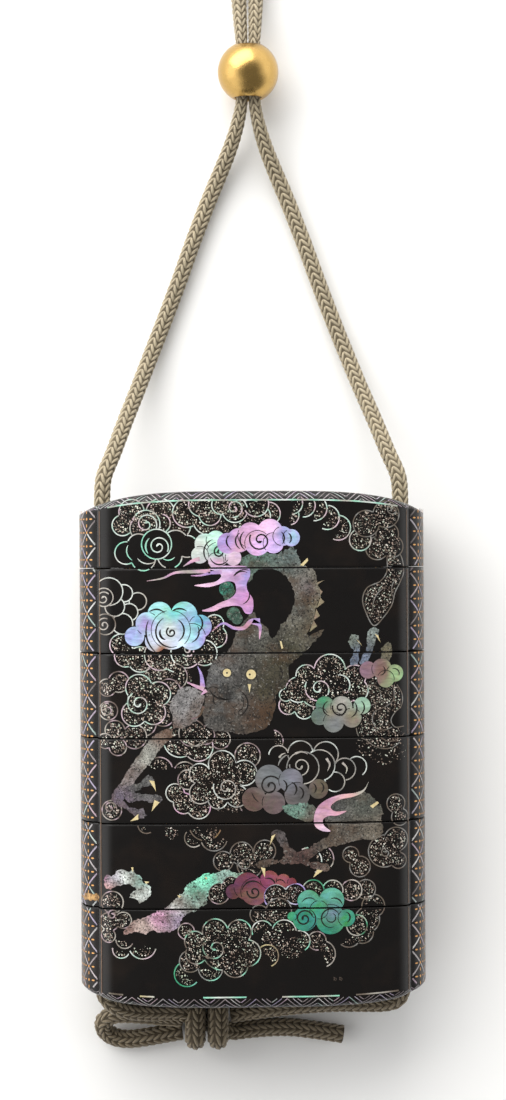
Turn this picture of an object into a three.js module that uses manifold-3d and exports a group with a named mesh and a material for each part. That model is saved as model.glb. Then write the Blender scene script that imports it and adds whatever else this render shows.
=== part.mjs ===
// A Japanese inro: a tier of small lacquered boxes under a lid, strung on one silk cord that runs down a channel
// at each side, through a sliding bead above the lid and into a slipped bow under the foot.
// It lies on its back: X across, Y from the foot (-) to the lid (+), Z up from the back panel to the front panel.
// The origin is on the surface that it lies on, under the middle of the boxes. Units are millimetres.

import * as THREE from "three";
import { mergeVertices } from "three/addons/utils/BufferGeometryUtils.js";
import Module from "manifold-3d";

const wasm = await Module();
wasm.setup();

// Heights of the tier, from the foot up.
const baseHeight = 17.4;
const caseHeight = 14.8;
const caseCount = 4;
const lidHeight = 13.4;
const jointGap = 0.3;

// The plan that all the boxes share.
const bodyDepth = 23;
const panelWidth = 54.8;
const panelFlat = 16;
const panelSag = 1.5;
const panelCorner = 2.4;
const ridgeStep = 0.1;
const ridgeOut = 3.25;

// The rounded shoulder round the lid and the foot, and how far each crown falls by the panels' edges.
const shoulderRise = 1.8;
const shoulderInset = 1.4;
const lidCrown = 2.4;
const lidEdgeCrown = 1.4;
const footCrown = 1.7;
const footEdgeCrown = 1.0;
const crownPower = 4;

// Walls, floors and the rim of each box that stands up into the box above.
const outerWall = 1.4;
const ceilingWall = 1.8;
const floorWall = 1.2;
const rimHeight = 4.6;
const rimWall = 0.9;
const rimClearance = 0.3;
const rimTopClearance = 0.4;
const roomCorner = 1.5;

// The silk cord and the two channels that it runs down.
const cordDiameter = 3.0;
const channelClearance = 0.4;
const channelInset = 0.8;
const channelWall = 0.9;
const cordMeetingGap = 0.3;
const slackCord = 3.4;
const cordSides = 8;

// The bead that slides on both strands, and the width that it squeezes each strand to.
const beadDiameter = 11;
const beadBore = 4.8;
const beadMouthFlat = 0.35;
const beadAboveLid = 76.2;
const beadSegments = 32;
const beadRings = 12;
const squeezedCord = 2.0;
const squeezeReach = 16;

// The knot of the bow, under the foot: the cord wrapped side by side round the strands.
const knotLeft = -12.5;
const knotWraps = 2;
const wrapWidth = 4.1;
const wrapRound = 0.8;
const wrapSteps = 4;
const knotNear = 1.2;
const knotHeight = 8.9;
const knotLow = 0.15;
const knotTop = 9.0;
const knotCorner = 2.4;

const bodyHeight = baseHeight + caseCount * caseHeight + lidHeight;
const footY = -bodyHeight / 2;
const lidY = bodyHeight / 2;
const panelHalf = panelWidth / 2;
const bodyHalf = panelHalf + ridgeOut;
const midDepth = bodyDepth / 2;
const panelEdgeZ = midDepth - panelSag;
const ridgeHalf = panelEdgeZ - panelCorner - ridgeStep;
const channelBore = cordDiameter + 2 * channelClearance;
const channelX = panelHalf - channelInset;
const socketHalf = channelX - channelBore / 2 - channelWall;
const socketDepth = rimHeight + rimTopClearance;
const through = bodyHeight + 10;

const lacquer = new THREE.MeshStandardMaterial({ color: 0x14110f, roughness: 0.18, metalness: 0 });
const gilt = new THREE.MeshStandardMaterial({ color: 0xb08a3c, roughness: 0.32, metalness: 1 });
const silk = new THREE.MeshStandardMaterial({ color: 0x8d8062, roughness: 0.8, metalness: 0 });

// How far a panel stands from the middle plane: flat in the middle, then falling to its edges.
function panelZ(x) {
  const share = Math.max(0, (Math.abs(x) - panelFlat / 2) / (panelHalf - panelFlat / 2));
  return midDepth - panelSag * share * share;
}

// Joins the right-hand front quarter of a plan, from the middle to the end, into the whole plan. Its points run
// along the front from left to right and back again, so that point i mirrors point (2m - i).
function wholePlan(quarter) {
  const right = quarter.map(([x, z]) => ({ x, z }));
  const left = right.map(({ x, z }) => ({ x: -x, z })).reverse();
  const front = [...left.slice(0, -1), ...right];
  const back = front.slice(1, -1).map(({ x, z }) => ({ x, z: -z })).reverse();
  return [...front, ...back];
}

// Points of an arc, both ends included, as [x, z].
function arc(centreX, centreZ, radiusX, radiusZ, from, to, steps) {
  return Array.from({ length: steps + 1 }, (_, i) => {
    const angle = from + ((to - from) * i) / steps;
    return [centreX + radiusX * Math.cos(angle), centreZ + radiusZ * Math.sin(angle)];
  });
}

// Points along a panel's curve, as [x, z], set in from its surface by a wall.
function panelCurve(to, wall, steps) {
  const from = panelFlat / 2;
  return Array.from({ length: steps + 1 }, (_, i) => {
    const x = from + ((to - from) * i) / steps;
    return [x, panelZ(x) - wall];
  });
}

// The outside plan: a panel, its rounded vertical corner, and the half-oval ridge that holds the cord channel.
function outsidePlan() {
  const quarterTurn = Math.PI / 2;
  const cornerX = panelHalf - panelCorner;
  const cornerZ = panelEdgeZ - panelCorner;
  return wholePlan([
    [0, midDepth],
    ...panelCurve(cornerX, 0, 5),
    ...arc(cornerX, cornerZ, panelCorner, panelCorner, quarterTurn * 0.86, 0, 5),
    ...arc(panelHalf + 0.02, 0, ridgeOut - 0.02, ridgeHalf, quarterTurn, 0, 8),
  ]);
}

// The plan of a socket, a rim or a room inside it: parallel to the panels, with straight ends.
function roomPlan(half, wall) {
  const cornerX = half - roomCorner;
  const cornerZ = panelZ(cornerX) - wall - roomCorner;
  return wholePlan([
    [0, midDepth - wall],
    ...panelCurve(cornerX, wall, 4),
    ...arc(cornerX, cornerZ, roomCorner, roomCorner, Math.PI / 2.3, 0, 3),
    [half + 0.001, 0],
  ]);
}

// A closed solid between rings of one plan. Each ring is { y, inset }: y is a height, or a function of x.
function loft(plan, rings) {
  const count = plan.length;
  const half = count / 2;
  const endX = Math.max(...plan.map((p) => p.x));
  const endZ = Math.max(...plan.map((p) => p.z));
  const positions = [];
  for (const { y, inset = 0 } of rings) {
    for (const point of plan) {
      const x = point.x * (1 - inset / endX);
      positions.push(x, typeof y === "function" ? y(x) : y, point.z * (1 - inset / endZ));
    }
  }
  const faces = [];
  for (let ring = 0; ring < rings.length - 1; ring++) {
    for (let i = 0; i < count; i++) {
      const next = (i + 1) % count;
      const low = ring * count;
      const high = low + count;
      faces.push(low + i, low + next, high + next, low + i, high + next, high + i);
    }
  }
  const top = (rings.length - 1) * count;
  for (let i = 0; i < half; i++) {
    const [a, b] = [i, i + 1];
    const [c, d] = [(count - b) % count, (count - a) % count];
    if (c !== b) {
      faces.push(c, b, a, top + a, top + b, top + c);
    }
    if (d !== a) {
      faces.push(d, c, a, top + a, top + c, top + d);
    }
  }
  const geometry = new THREE.BufferGeometry();
  geometry.setAttribute("position", new THREE.Float32BufferAttribute(positions, 3));
  geometry.setIndex(faces);
  return geometry;
}

// A geometry as a solid that can be joined and cut.
function solid(geometry) {
  const bare = geometry.clone();
  bare.deleteAttribute("normal");
  bare.deleteAttribute("uv");
  const merged = mergeVertices(bare, 1e-4);
  return new wasm.Manifold(
    new wasm.Mesh({
      numProp: 3,
      vertProperties: new Float32Array(merged.attributes.position.array),
      triVerts: new Uint32Array(merged.index.array),
    }),
  );
}

// A solid back as a geometry.
function geometryOf(made) {
  const mesh = made.getMesh();
  const geometry = new THREE.BufferGeometry();
  geometry.setAttribute("position", new THREE.BufferAttribute(new Float32Array(mesh.vertProperties), 3));
  geometry.setIndex(new THREE.BufferAttribute(new Uint32Array(mesh.triVerts), 1));
  geometry.computeVertexNormals();
  return geometry;
}

// A height that falls or rises towards the panels' edges, for the domed lid and foot.
function crowned(middle, fall) {
  return (x) => middle - fall * Math.pow(Math.abs(x) / panelHalf, crownPower);
}

// The whole outside, before it is cut into boxes.
function outside() {
  const bulge = 0.3;
  const rise = (share) => shoulderRise * share;
  const footAt = (share) => crowned(footY + rise(share), -(footCrown + (footEdgeCrown - footCrown) * share));
  const lidAt = (share) => crowned(lidY - rise(share), lidCrown + (lidEdgeCrown - lidCrown) * share);
  return solid(
    loft(outsidePlan(), [
      { y: footAt(0), inset: shoulderInset },
      { y: footAt(bulge), inset: shoulderInset * bulge },
      { y: footAt(1) },
      { y: lidAt(1) },
      { y: lidAt(bulge), inset: shoulderInset * bulge },
      { y: lidAt(0), inset: shoulderInset },
    ]),
  );
}

// A block across the whole plan between two heights.
function slab(low, high) {
  const block = new THREE.BoxGeometry(bodyHalf * 3, high - low, bodyDepth * 2);
  block.translate(0, (low + high) / 2, 0);
  return solid(block);
}

// The two bores that the cord runs down.
function channels() {
  const bore = new THREE.CylinderGeometry(channelBore / 2, channelBore / 2, through, 24);
  const left = solid(bore.clone().translate(-channelX, 0, 0));
  return solid(bore.clone().translate(channelX, 0, 0)).add(left);
}

// Hollows and rims, each between two heights. A half width of rimHalf or roomHalf follows from the socket's.
const rimHalf = socketHalf - rimClearance;
const roomHalf = rimHalf - rimWall;
const rimInset = outerWall + rimClearance;
const socket = (low, high) => solid(loft(roomPlan(socketHalf, outerWall), [{ y: low }, { y: high }]));
const rim = (low, high) => solid(loft(roomPlan(rimHalf, rimInset), [{ y: low }, { y: high }]));
const room = (low, high) => solid(loft(roomPlan(roomHalf, rimInset + rimWall), [{ y: low }, { y: high }]));

// One box from the tier. It stands between two joint heights, and a socket under it takes the rim of the box below.
function box(low, high, roomFloor, hasSocket) {
  const footEnd = hasSocket ? low + jointGap / 2 : low - 1;
  let made = outside().intersect(slab(footEnd, high - jointGap / 2));
  made = made.add(rim(high - rimHeight, high + rimHeight));
  made = made.subtract(room(roomFloor, high + rimHeight + 1));
  if (hasSocket) {
    made = made.subtract(socket(low - 1, low + socketDepth));
  }
  return geometryOf(made.subtract(channels()));
}

// The lid: one hollow under a ceiling that is domed like its top.
function lid(low) {
  const made = outside().intersect(slab(low + jointGap / 2, lidY + 1));
  const hollow = socket(low - 1, crowned(lidY - ceilingWall, lidCrown));
  return geometryOf(made.subtract(hollow).subtract(channels()));
}

// The bead: a ball with a bore and a narrow flat round each mouth.
function bead() {
  const radius = beadDiameter / 2;
  const bore = beadBore / 2;
  const mouth = bore + beadMouthFlat;
  const tilt = Math.acos(mouth / radius);
  const mouthY = radius * Math.sin(tilt);
  const profile = [new THREE.Vector2(bore, -mouthY)];
  for (let i = 0; i <= beadRings; i++) {
    const angle = -tilt + (2 * tilt * i) / beadRings;
    profile.push(new THREE.Vector2(radius * Math.cos(angle), radius * Math.sin(angle)));
  }
  profile.push(new THREE.Vector2(bore, mouthY));
  profile.push(new THREE.Vector2(bore, -mouthY));
  return new THREE.LatheGeometry(profile, beadSegments);
}

// A cord along chosen points. widthAt gives its diameter at a point, where something squeezes it.
function cord(points, steps, widthAt = () => cordDiameter) {
  const path = new THREE.CatmullRomCurve3(points.map((p) => new THREE.Vector3(...p)), false, "centripetal");
  const section = Array.from({ length: cordSides }, (_, i) => {
    const angle = (2 * Math.PI * (i + 0.5)) / cordSides;
    return new THREE.Vector2(Math.cos(angle), Math.sin(angle)).multiplyScalar(cordDiameter / 2);
  });
  const along = { steps, bevelEnabled: false, extrudePath: path };
  const tube = new THREE.ExtrudeGeometry(new THREE.Shape(section), along);
  const centres = path.getSpacedPoints(steps);
  const place = tube.getAttribute("position");
  const vertex = new THREE.Vector3();
  // A point belongs to the centre that it is exactly a radius away from.
  const offRing = (centre) => Math.abs(centre.distanceTo(vertex) - cordDiameter / 2);
  for (let i = 0; i < place.count; i++) {
    vertex.fromBufferAttribute(place, i);
    const centre = centres.reduce((best, c) => (offRing(c) < offRing(best) ? c : best));
    vertex.sub(centre).multiplyScalar(widthAt(centre) / cordDiameter).add(centre);
    place.setXYZ(i, vertex.x, vertex.y, vertex.z);
  }
  return tube;
}

const beadY = lidY + beadAboveLid;
const beadZ = beadDiameter / 2;
const cordOnSurface = cordDiameter / 2 + 0.02;
const slackOnSurface = slackCord / 2 + 0.02;
const strandInBead = squeezedCord / 2 + cordMeetingGap / 2;

// The half of the hanging cord on the right, from inside its channel to the end of the loop. The strand leaves the
// channel straight, comes down to the surface, climbs into the bead and lies down again in the end loop beyond it.
const hangingHalf = [
  [channelX, lidY - lidCrown - 1.2, midDepth],
  [channelX, lidY - 0.4, midDepth],
  [26.3, lidY + 2.8, 11.3],
  [24.7, lidY + 7.0, 9.6],
  [22.4, lidY + 13.4, 6.4],
  [20.1, lidY + 19.4, 3.6],
  [17.9, lidY + 25.2, 2.0],
  [15.4, lidY + 31.6, cordOnSurface],
  [12.6, lidY + 39.0, cordOnSurface],
  [10.0, lidY + 46.2, cordOnSurface],
  [7.3, lidY + 53.2, cordOnSurface],
  [5.0, lidY + 58.6, 2.1],
  [3.1, lidY + 63.2, 3.4],
  [1.8, lidY + 67.4, 4.8],
  [strandInBead, lidY + 71.2, beadZ],
  [strandInBead, beadY, beadZ],
  [strandInBead, beadY + 5.4, beadZ],
  [1.35, beadY + 9.4, 4.6],
  [1.53, beadY + 13.6, 3.1],
  [1.8, beadY + 17.6, 2.0],
  [2.6, beadY + 21.4, cordOnSurface],
  [4.2, beadY + 25.4, cordOnSurface],
  [5.8, beadY + 29.4, cordOnSurface],
  [6.4, beadY + 33.6, cordOnSurface],
  [5.6, beadY + 37.2, cordOnSurface],
  [3.2, beadY + 39.6, cordOnSurface],
];
const loopEnd = [0, beadY + 40.5, cordOnSurface];
const mirrored = (route) => route.map(([x, y, z]) => [-x, y, z]);
const hangingRoute = [...mirrored(hangingHalf), loopEnd, ...hangingHalf.toReversed()];

// The bead squeezes the strands, and they swell back to their full width away from it.
function squeezedByBead(point) {
  const away = Math.max(0, Math.abs(point.y - beadY) - beadDiameter / 2) / squeezeReach;
  const share = Math.min(1, away);
  return squeezedCord + (cordDiameter - squeezedCord) * share * (2 - share);
}

// The stretches under the foot: one from each channel to the knot, the bow's loop, and the tail with its cut end.
const channelFoot = footY + footCrown + 1.0;
const knotWidth = knotWraps * wrapWidth;
const knotRight = knotLeft + knotWidth;
const footLeftRoute = [
  [-channelX, channelFoot - cordMeetingGap, midDepth],
  [-26.4, footY + 0.6, 11.4],
  [-24.9, footY - 1.3, 10.7],
  [-22.4, footY - 2.5, 9.6],
  [-18.6, footY - 3.1, 8.4],
  [knotLeft - cordMeetingGap, footY - 3.5, 7.3],
];
const footRightRoute = [
  [channelX, channelFoot - cordMeetingGap, midDepth],
  [26.5, footY + 0.3, 11.3],
  [25.6, footY - 1.1, 10.7],
  [23.6, footY - 1.8, 9.9],
  [20.0, footY - 2.0, 9.0],
  [15.0, footY - 2.1, 8.1],
  [8.5, footY - 2.6, 7.2],
  [2.0, footY - 3.4, 6.4],
  [knotRight + cordMeetingGap, footY - 4.3, 5.8],
];
const bowRoute = [
  [knotLeft - cordMeetingGap, footY - 7.9, slackOnSurface],
  [-15.8, footY - 8.4, slackOnSurface],
  [-19.4, footY - 9.0, slackOnSurface],
  [-22.8, footY - 9.3, slackOnSurface],
  [-25.4, footY - 8.7, 2.0],
  [-26.9, footY - 7.2, 2.8],
  [-27.0, footY - 5.6, 3.8],
  [-25.6, footY - 4.4, 4.7],
  [-23.0, footY - 4.1, 5.0],
  [-19.2, footY - 4.4, 4.8],
  [-15.8, footY - 4.8, 4.4],
  [knotLeft - cordMeetingGap, footY - 5.1, 4.1],
];
const tailRoute = [
  [knotRight + cordMeetingGap, footY - 8.0, 1.9],
  [-1.0, footY - 7.8, slackOnSurface],
  [3.0, footY - 7.5, slackOnSurface],
  [7.0, footY - 7.5, slackOnSurface],
  [11.0, footY - 8.0, slackOnSurface],
  [16.2, footY - 9.0, slackOnSurface],
];

// The stretch of cord inside a channel, between the loop above and the bow below.
function channelCord(x) {
  const low = channelFoot;
  const high = hangingHalf[0][1] - cordMeetingGap;
  const rod = new THREE.CylinderGeometry(cordDiameter / 2, cordDiameter / 2, high - low, 12);
  return rod.translate(x, (low + high) / 2, midDepth);
}

// The outer shape of the knot: a row of wraps, each rounded where it meets the next.
function knot() {
  const halfHeight = knotHeight / 2;
  const halfRise = (knotTop - knotLow) / 2;
  const section = wholePlan([
    [0, halfRise],
    ...arc(halfHeight - knotCorner, halfRise - knotCorner, knotCorner, knotCorner, Math.PI / 2, 0, 4),
    [halfHeight + 0.001, 0],
  ]);
  const rings = Array.from({ length: knotWraps * wrapSteps + 1 }, (_, i) => {
    const share = (i % wrapSteps) / wrapSteps;
    return { y: (i * wrapWidth) / wrapSteps, inset: wrapRound * Math.pow(2 * share - 1, 4) };
  });
  const made = loft(section, rings);
  // The wraps were stacked along Y, and lie in a row along X.
  made.rotateZ(-Math.PI / 2);
  return made.translate(knotLeft, footY - knotNear - halfHeight, knotLow + halfRise);
}

function named(name, geometry, material) {
  const mesh = new THREE.Mesh(geometry, material);
  mesh.name = name;
  return mesh;
}

const tier = new THREE.Group();
tier.position.z = midDepth;
const baseTop = footY + baseHeight;
tier.add(named("base_case", box(footY, baseTop, crowned(footY + ceilingWall, -footCrown), false), lacquer));
for (let i = 0; i < caseCount; i++) {
  const low = baseTop + i * caseHeight;
  const roomFloor = low + socketDepth + floorWall;
  tier.add(named(`case_${caseCount - i}`, box(low, low + caseHeight, roomFloor, true), lacquer));
}
tier.add(named("lid", lid(baseTop + caseCount * caseHeight), lacquer));

const beadMesh = named("bead", bead(), gilt);
beadMesh.position.set(0, beadY, beadZ);

const strung = new THREE.Group();
strung.add(beadMesh);
strung.add(named("cord_hanging_loop", cord(hangingRoute, 76, squeezedByBead), silk));
strung.add(named("cord_channel_left", channelCord(-channelX), silk));
strung.add(named("cord_channel_right", channelCord(channelX), silk));
strung.add(named("cord_foot_left", cord(footLeftRoute, 10), silk));
strung.add(named("cord_foot_right", cord(footRightRoute, 16), silk));
strung.add(named("cord_bow_loop", cord(bowRoute, 18, () => slackCord), silk));
strung.add(named("cord_tail", cord(tailRoute, 7, () => slackCord), silk));
strung.add(named("cord_knot", knot(), silk));

const inro = new THREE.Group();
inro.name = "inro_case";
inro.add(tier, strung);

export default inro;
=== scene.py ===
"""A Japanese inro, dressed: lacquered boxes with inlaid shell, a gilt bead and a braided silk cord."""

import math
import random

import bmesh
import bpy
import numpy as np
from bpy.props import FloatProperty, FloatVectorProperty, IntProperty, PointerProperty
from bpy.types import Operator, Panel, PropertyGroup
from mathutils import Matrix, Vector
from mathutils.geometry import delaunay_2d_cdt


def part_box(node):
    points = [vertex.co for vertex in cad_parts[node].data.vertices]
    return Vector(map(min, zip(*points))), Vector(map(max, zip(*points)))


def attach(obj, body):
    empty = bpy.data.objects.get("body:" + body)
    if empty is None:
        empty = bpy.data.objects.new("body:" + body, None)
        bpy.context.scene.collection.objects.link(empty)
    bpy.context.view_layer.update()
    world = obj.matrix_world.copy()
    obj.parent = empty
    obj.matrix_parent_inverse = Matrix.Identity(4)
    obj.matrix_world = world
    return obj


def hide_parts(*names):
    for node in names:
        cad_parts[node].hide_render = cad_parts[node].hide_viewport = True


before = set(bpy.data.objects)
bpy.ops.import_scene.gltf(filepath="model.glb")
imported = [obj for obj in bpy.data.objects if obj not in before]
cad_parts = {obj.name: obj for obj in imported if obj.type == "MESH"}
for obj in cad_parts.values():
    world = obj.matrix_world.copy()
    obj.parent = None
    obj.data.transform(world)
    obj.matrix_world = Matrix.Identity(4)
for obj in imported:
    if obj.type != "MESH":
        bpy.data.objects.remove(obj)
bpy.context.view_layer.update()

bl_info = {
    "name": "Inro Maker",
    "version": (1, 0, 0),
    "blender": (4, 5, 0),
    "location": "3D View > Sidebar > Inro",
    "description": "Makes a lacquered inro with inlaid shell, its gilt bead and its silk cord",
    "category": "Add Mesh",
}

# Lengths inside the makers are millimetres, and are turned into metres when a mesh is made.
MM = 0.001

# The boxes from the foot up, as the frame names them.
TIER = ["base_case", "case_4", "case_3", "case_2", "case_1", "lid"]
GAP_BETWEEN_SOLIDS = 0.3


def millimetres(corner):
    """Turn a corner of a box from metres into millimetres."""
    return [c / MM for c in corner]


LOWS = [millimetres(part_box(node)[0]) for node in TIER]
HIGHS = [millimetres(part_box(node)[1]) for node in TIER]
FOOT = LOWS[0][1]
CROWN = HIGHS[-1][1]
HALF_WIDTH = HIGHS[0][0]
DEPTH = HIGHS[0][2]
MIDDLE = DEPTH / 2
JOINTS = [low[1] - GAP_BETWEEN_SOLIDS / 2 for low in LOWS[1:]]
BEAD_LOW, BEAD_HIGH = (millimetres(corner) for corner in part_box("bead"))
BEAD_CENTRE = [(a + b) / 2 for a, b in zip(BEAD_LOW, BEAD_HIGH)]


def length(name, default, description):
    """A property that holds a length in metres."""
    return FloatProperty(name=name, description=description, default=default * MM, unit="LENGTH", precision=5)


def colour(name, default, description):
    """A property that holds a colour."""
    return FloatVectorProperty(name=name, description=description, default=default, subtype="COLOR", size=3)


class TierSizes(PropertyGroup):
    """Sizes of the lacquered boxes."""

    ridge_out: length("Ridge", 3.25, "How far the cord ridges stand out of the panel's sides")
    ridge_step: length("Ridge step", 0.1, "Step between the rounded corner and the ridge")
    panel_flat: length("Flat", 16, "Width of the flat strip down the middle of each panel")
    panel_sag: length("Sag", 1.5, "How far a panel falls back by its edges")
    panel_corner: length("Corner", 2.4, "Radius of the rounded vertical corners")
    shoulder_rise: length("Shoulder rise", 1.8, "Height of the sloping band round the lid and the foot")
    shoulder_inset: length("Shoulder inset", 1.4, "How far the sloping band leans in")
    lid_crown: length("Lid crown", 2.4, "How far the lid's top falls by the panels' edges")
    lid_edge_crown: length("Lid edge crown", 1.4, "The same fall at the lower edge of the sloping band")
    foot_crown: length("Foot crown", 1.7, "How far the foot rises by the panels' edges")
    foot_edge_crown: length("Foot edge crown", 1.0, "The same rise at the upper edge of the sloping band")
    outer_wall: length("Wall", 1.4, "Thickness of the outer wall at a socket")
    floor_wall: length("Floor", 1.2, "Thickness of each floor")
    ceiling_wall: length("Ceiling", 1.8, "Thickness of the lid's top and of the foot")
    rim_height: length("Rim", 4.6, "Height of the rim that stands up into the box above")
    rim_wall: length("Rim wall", 0.9, "Thickness of that rim")
    rim_clearance: length("Rim play", 0.15, "Play between a rim and its socket")
    socket_half: length("Socket", 23.8, "Half of a socket's width")
    room_corner: length("Room corner", 1.5, "Radius of the corners inside")
    joint_gap: length("Joint", 0.2, "Width of the line between two boxes")
    edge_round: length("Edge", 0.12, "Rounding of the edges at a joint")
    channel_bore: length("Channel", 3.8, "Diameter of the cord channels")
    channel_place: length("Channel place", 26.6, "Distance of the cord channels from the middle")


class CordSizes(PropertyGroup):
    """Sizes of the braided cord and its bead."""

    width: length("Cord", 3.0, "Diameter of the cord where it is pulled straight")
    slack_width: length("Slack cord", 3.4, "Diameter of the cord where nothing pulls it")
    squeezed_width: length("Squeezed cord", 2.2, "Diameter of each strand in the bead")
    squeeze_reach: length("Squeeze reach", 16, "Distance over which a strand swells back to its width")
    stitch_pitch: length("Stitch", 1.30, "Distance from one row of stitches to the next")
    bead_bore: length("Bead bore", 4.8, "Diameter of the hole through the bead")
    columns: IntProperty(name="Columns", description="Columns of stitches round the cord", default=8, min=4)


class Colours(PropertyGroup):
    """Colours of the lacquer, the inlay, the metal and the silk."""

    lacquer: colour("Lacquer", (0.0045, 0.0036, 0.0032), "Polished black lacquer")
    worn_lacquer: colour("Worn lacquer", (0.013, 0.008, 0.0055), "Brown that shows where the lacquer is thin")
    silk: colour("Silk", (0.43, 0.36, 0.24), "Light side of the silk")
    silk_shade: colour("Silk shade", (0.15, 0.118, 0.072), "Dark between the stitches")
    gilt: colour("Gilt", (0.60, 0.385, 0.125), "Gilt metal")
    inlaid_gold: colour("Inlaid gold", (0.80, 0.46, 0.15), "Gold dots, claws and eyes")


class StageSettings(PropertyGroup):
    """Floor, lights and camera."""

    floor: colour("Floor", (0.96, 0.955, 0.94), "Pale floor")
    key_power: FloatProperty(
        name="Key light", description="Power of the large soft light", default=13, unit="POWER",
    )
    fill_power: FloatProperty(
        name="Fill light", description="Power of the low light on the left", default=0.5, unit="POWER",
    )
    horizon: FloatProperty(name="Horizon", description="Brightness of the surroundings low down", default=1.6)
    zenith: FloatProperty(name="Zenith", description="Brightness straight above", default=0.24)
    camera_height: length("Camera height", 415, "Height of the camera above the front panel")
    camera_turn: FloatProperty(
        name="Camera turn", description="Sideways lean of the view", default=math.radians(2), subtype="ANGLE"
    )
    camera_roll: FloatProperty(
        name="Camera roll", description="Roll of the view", default=math.radians(-0.30), subtype="ANGLE"
    )
    view_side: length("View side", -0.16, "Sideways place of the middle of the view")
    view_centre: length("View centre", 34.7, "Height on the case of the middle of the view")
    view_height: length("View height", 191.07, "Height that the view takes in at the front panel")


def settings(name):
    """One of the property groups of the current scene."""
    return getattr(bpy.context.scene, name)


def mm(group, name):
    """A length from a property group, in millimetres."""
    return getattr(settings(group), name) / MM


# Nodes and meshes


def node(tree, kind, inputs=None, **values):
    """Add a node to a tree, with its settings and its inputs, each a value or the socket that feeds it."""
    made = tree.nodes.new(kind)
    for name, value in values.items():
        setattr(made, name, value)
    for name, value in (inputs or {}).items():
        if isinstance(value, bpy.types.NodeSocket):
            tree.links.new(value, made.inputs[name])
        else:
            made.inputs[name].default_value = value
    return made


def maths(tree, operation, *values):
    """A Math node in either kind of tree."""
    return node(tree, "ShaderNodeMath", dict(enumerate(values)), operation=operation).outputs[0]


def vector_maths(tree, operation, *values):
    """A Vector Math node that gives a vector."""
    return node(tree, "ShaderNodeVectorMath", dict(enumerate(values)), operation=operation).outputs[0]


def times(tree, *values):
    """The product of two numbers."""
    return maths(tree, "MULTIPLY", *values)


def over(tree, *values):
    """One number divided by another."""
    return maths(tree, "DIVIDE", *values)


def times_plus(tree, *values):
    """The product of two numbers, and a third added."""
    return maths(tree, "MULTIPLY_ADD", *values)


def scaled(tree, vector, factor):
    """A vector times a number."""
    made = node(tree, "ShaderNodeVectorMath", {0: vector, "Scale": factor}, operation="SCALE")
    return made.outputs[0]


def geo(tree, kind, inputs=None, **values):
    """A node of a geometry tree, as its first output."""
    return node(tree, f"GeometryNode{kind}", inputs, **values).outputs[0]


def xyz(tree, **parts):
    """A vector from its parts."""
    return node(tree, "ShaderNodeCombineXYZ", parts).outputs[0]


def geometry_tree(name, **kinds):
    """A tree for a modifier, and the sockets of its named inputs."""
    tree = bpy.data.node_groups.new(name, "GeometryNodeTree")
    for label, kind in {"Geometry": "Geometry", **kinds}.items():
        tree.interface.new_socket(label, in_out="INPUT", socket_type=f"NodeSocket{kind}")
    tree.interface.new_socket("Geometry", in_out="OUTPUT", socket_type="NodeSocketGeometry")
    return tree, node(tree, "NodeGroupInput").outputs


def marked(tree, geometry, name, value, kind="FLOAT", domain="POINT"):
    """Geometry that carries a value under a name."""
    inputs = {"Geometry": geometry, "Name": name, "Value": value}
    return geo(tree, "StoreNamedAttribute", inputs, data_type=kind, domain=domain)


def clad(tree, geometry, material, **more):
    """Geometry in a material."""
    return geo(tree, "SetMaterial", {"Geometry": geometry, "Material": material, **more})


def luck(tree, seed, high=1.0, **more):
    """A random number from nought up, for each element."""
    inputs = {2: 0.0, 3: high, "Seed": seed, **more}
    return node(tree, "FunctionNodeRandomValue", inputs, data_type="FLOAT").outputs[1]


def compared(tree, a, b, operation):
    """Whether one number is more or less than another."""
    return node(tree, "FunctionNodeCompare", {0: a, 1: b}, operation=operation).outputs[0]


def ramp(tree, factor, stops):
    """A colour ramp with its stops as (place, colour)."""
    made = node(tree, "ShaderNodeValToRGB", {"Fac": factor})
    elements = made.color_ramp.elements
    while len(elements) < len(stops):
        elements.new(0.5)
    for element, (place, shade) in zip(elements, stops):
        element.position = place
        element.color = (*shade, 1)
    return made.outputs["Color"]


def mix(tree, factor, a, b, blend="MIX"):
    """Mix two colours."""
    made = node(tree, "ShaderNodeMix", {0: factor}, data_type="RGBA", blend_type=blend)
    for socket, value in ((made.inputs[6], a), (made.inputs[7], b)):
        if isinstance(value, bpy.types.NodeSocket):
            tree.links.new(value, socket)
        else:
            socket.default_value = (*value, 1)
    return made.outputs[2]


def dimmer(shade, share):
    """A share of a colour."""
    return tuple(c * share for c in shade)


def noise(tree, place, scale, detail=3, roughness=0.5, distortion=0.0):
    """Noise on a place, as a factor."""
    inputs = {"Vector": place, "Scale": scale, "Detail": detail}
    inputs |= {"Roughness": roughness, "Distortion": distortion}
    return node(tree, "ShaderNodeTexNoise", inputs).outputs["Fac"]


def object_place(tree):
    """Object coordinates in a material."""
    return node(tree, "ShaderNodeTexCoord").outputs["Object"]


def attribute(tree, name, output="Fac"):
    """A named attribute in a material."""
    return node(tree, "ShaderNodeAttribute", attribute_name=name).outputs[output]


def bump(tree, height, strength, distance):
    """A bump from a height."""
    inputs = {"Height": height, "Strength": strength, "Distance": distance}
    return node(tree, "ShaderNodeBump", inputs).outputs["Normal"]


def new_material(name):
    """An empty material with a Principled shader, as (material, tree, shader)."""
    material = bpy.data.materials.new(name)
    material.use_nodes = True
    tree = material.node_tree
    tree.nodes.clear()
    shader = node(tree, "ShaderNodeBsdfPrincipled")
    node(tree, "ShaderNodeOutputMaterial", {"Surface": shader.outputs["BSDF"]})
    return material, tree, shader


def feed(tree, shader, **inputs):
    """Set or link the shader's inputs, with a line in a name for each space in the socket's."""
    for name, value in inputs.items():
        socket = shader.inputs[name.replace("_", " ")]
        if isinstance(value, bpy.types.NodeSocket):
            tree.links.new(value, socket)
        elif hasattr(socket.default_value, "__len__"):
            socket.default_value = (*value, 1)
        else:
            socket.default_value = value


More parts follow.
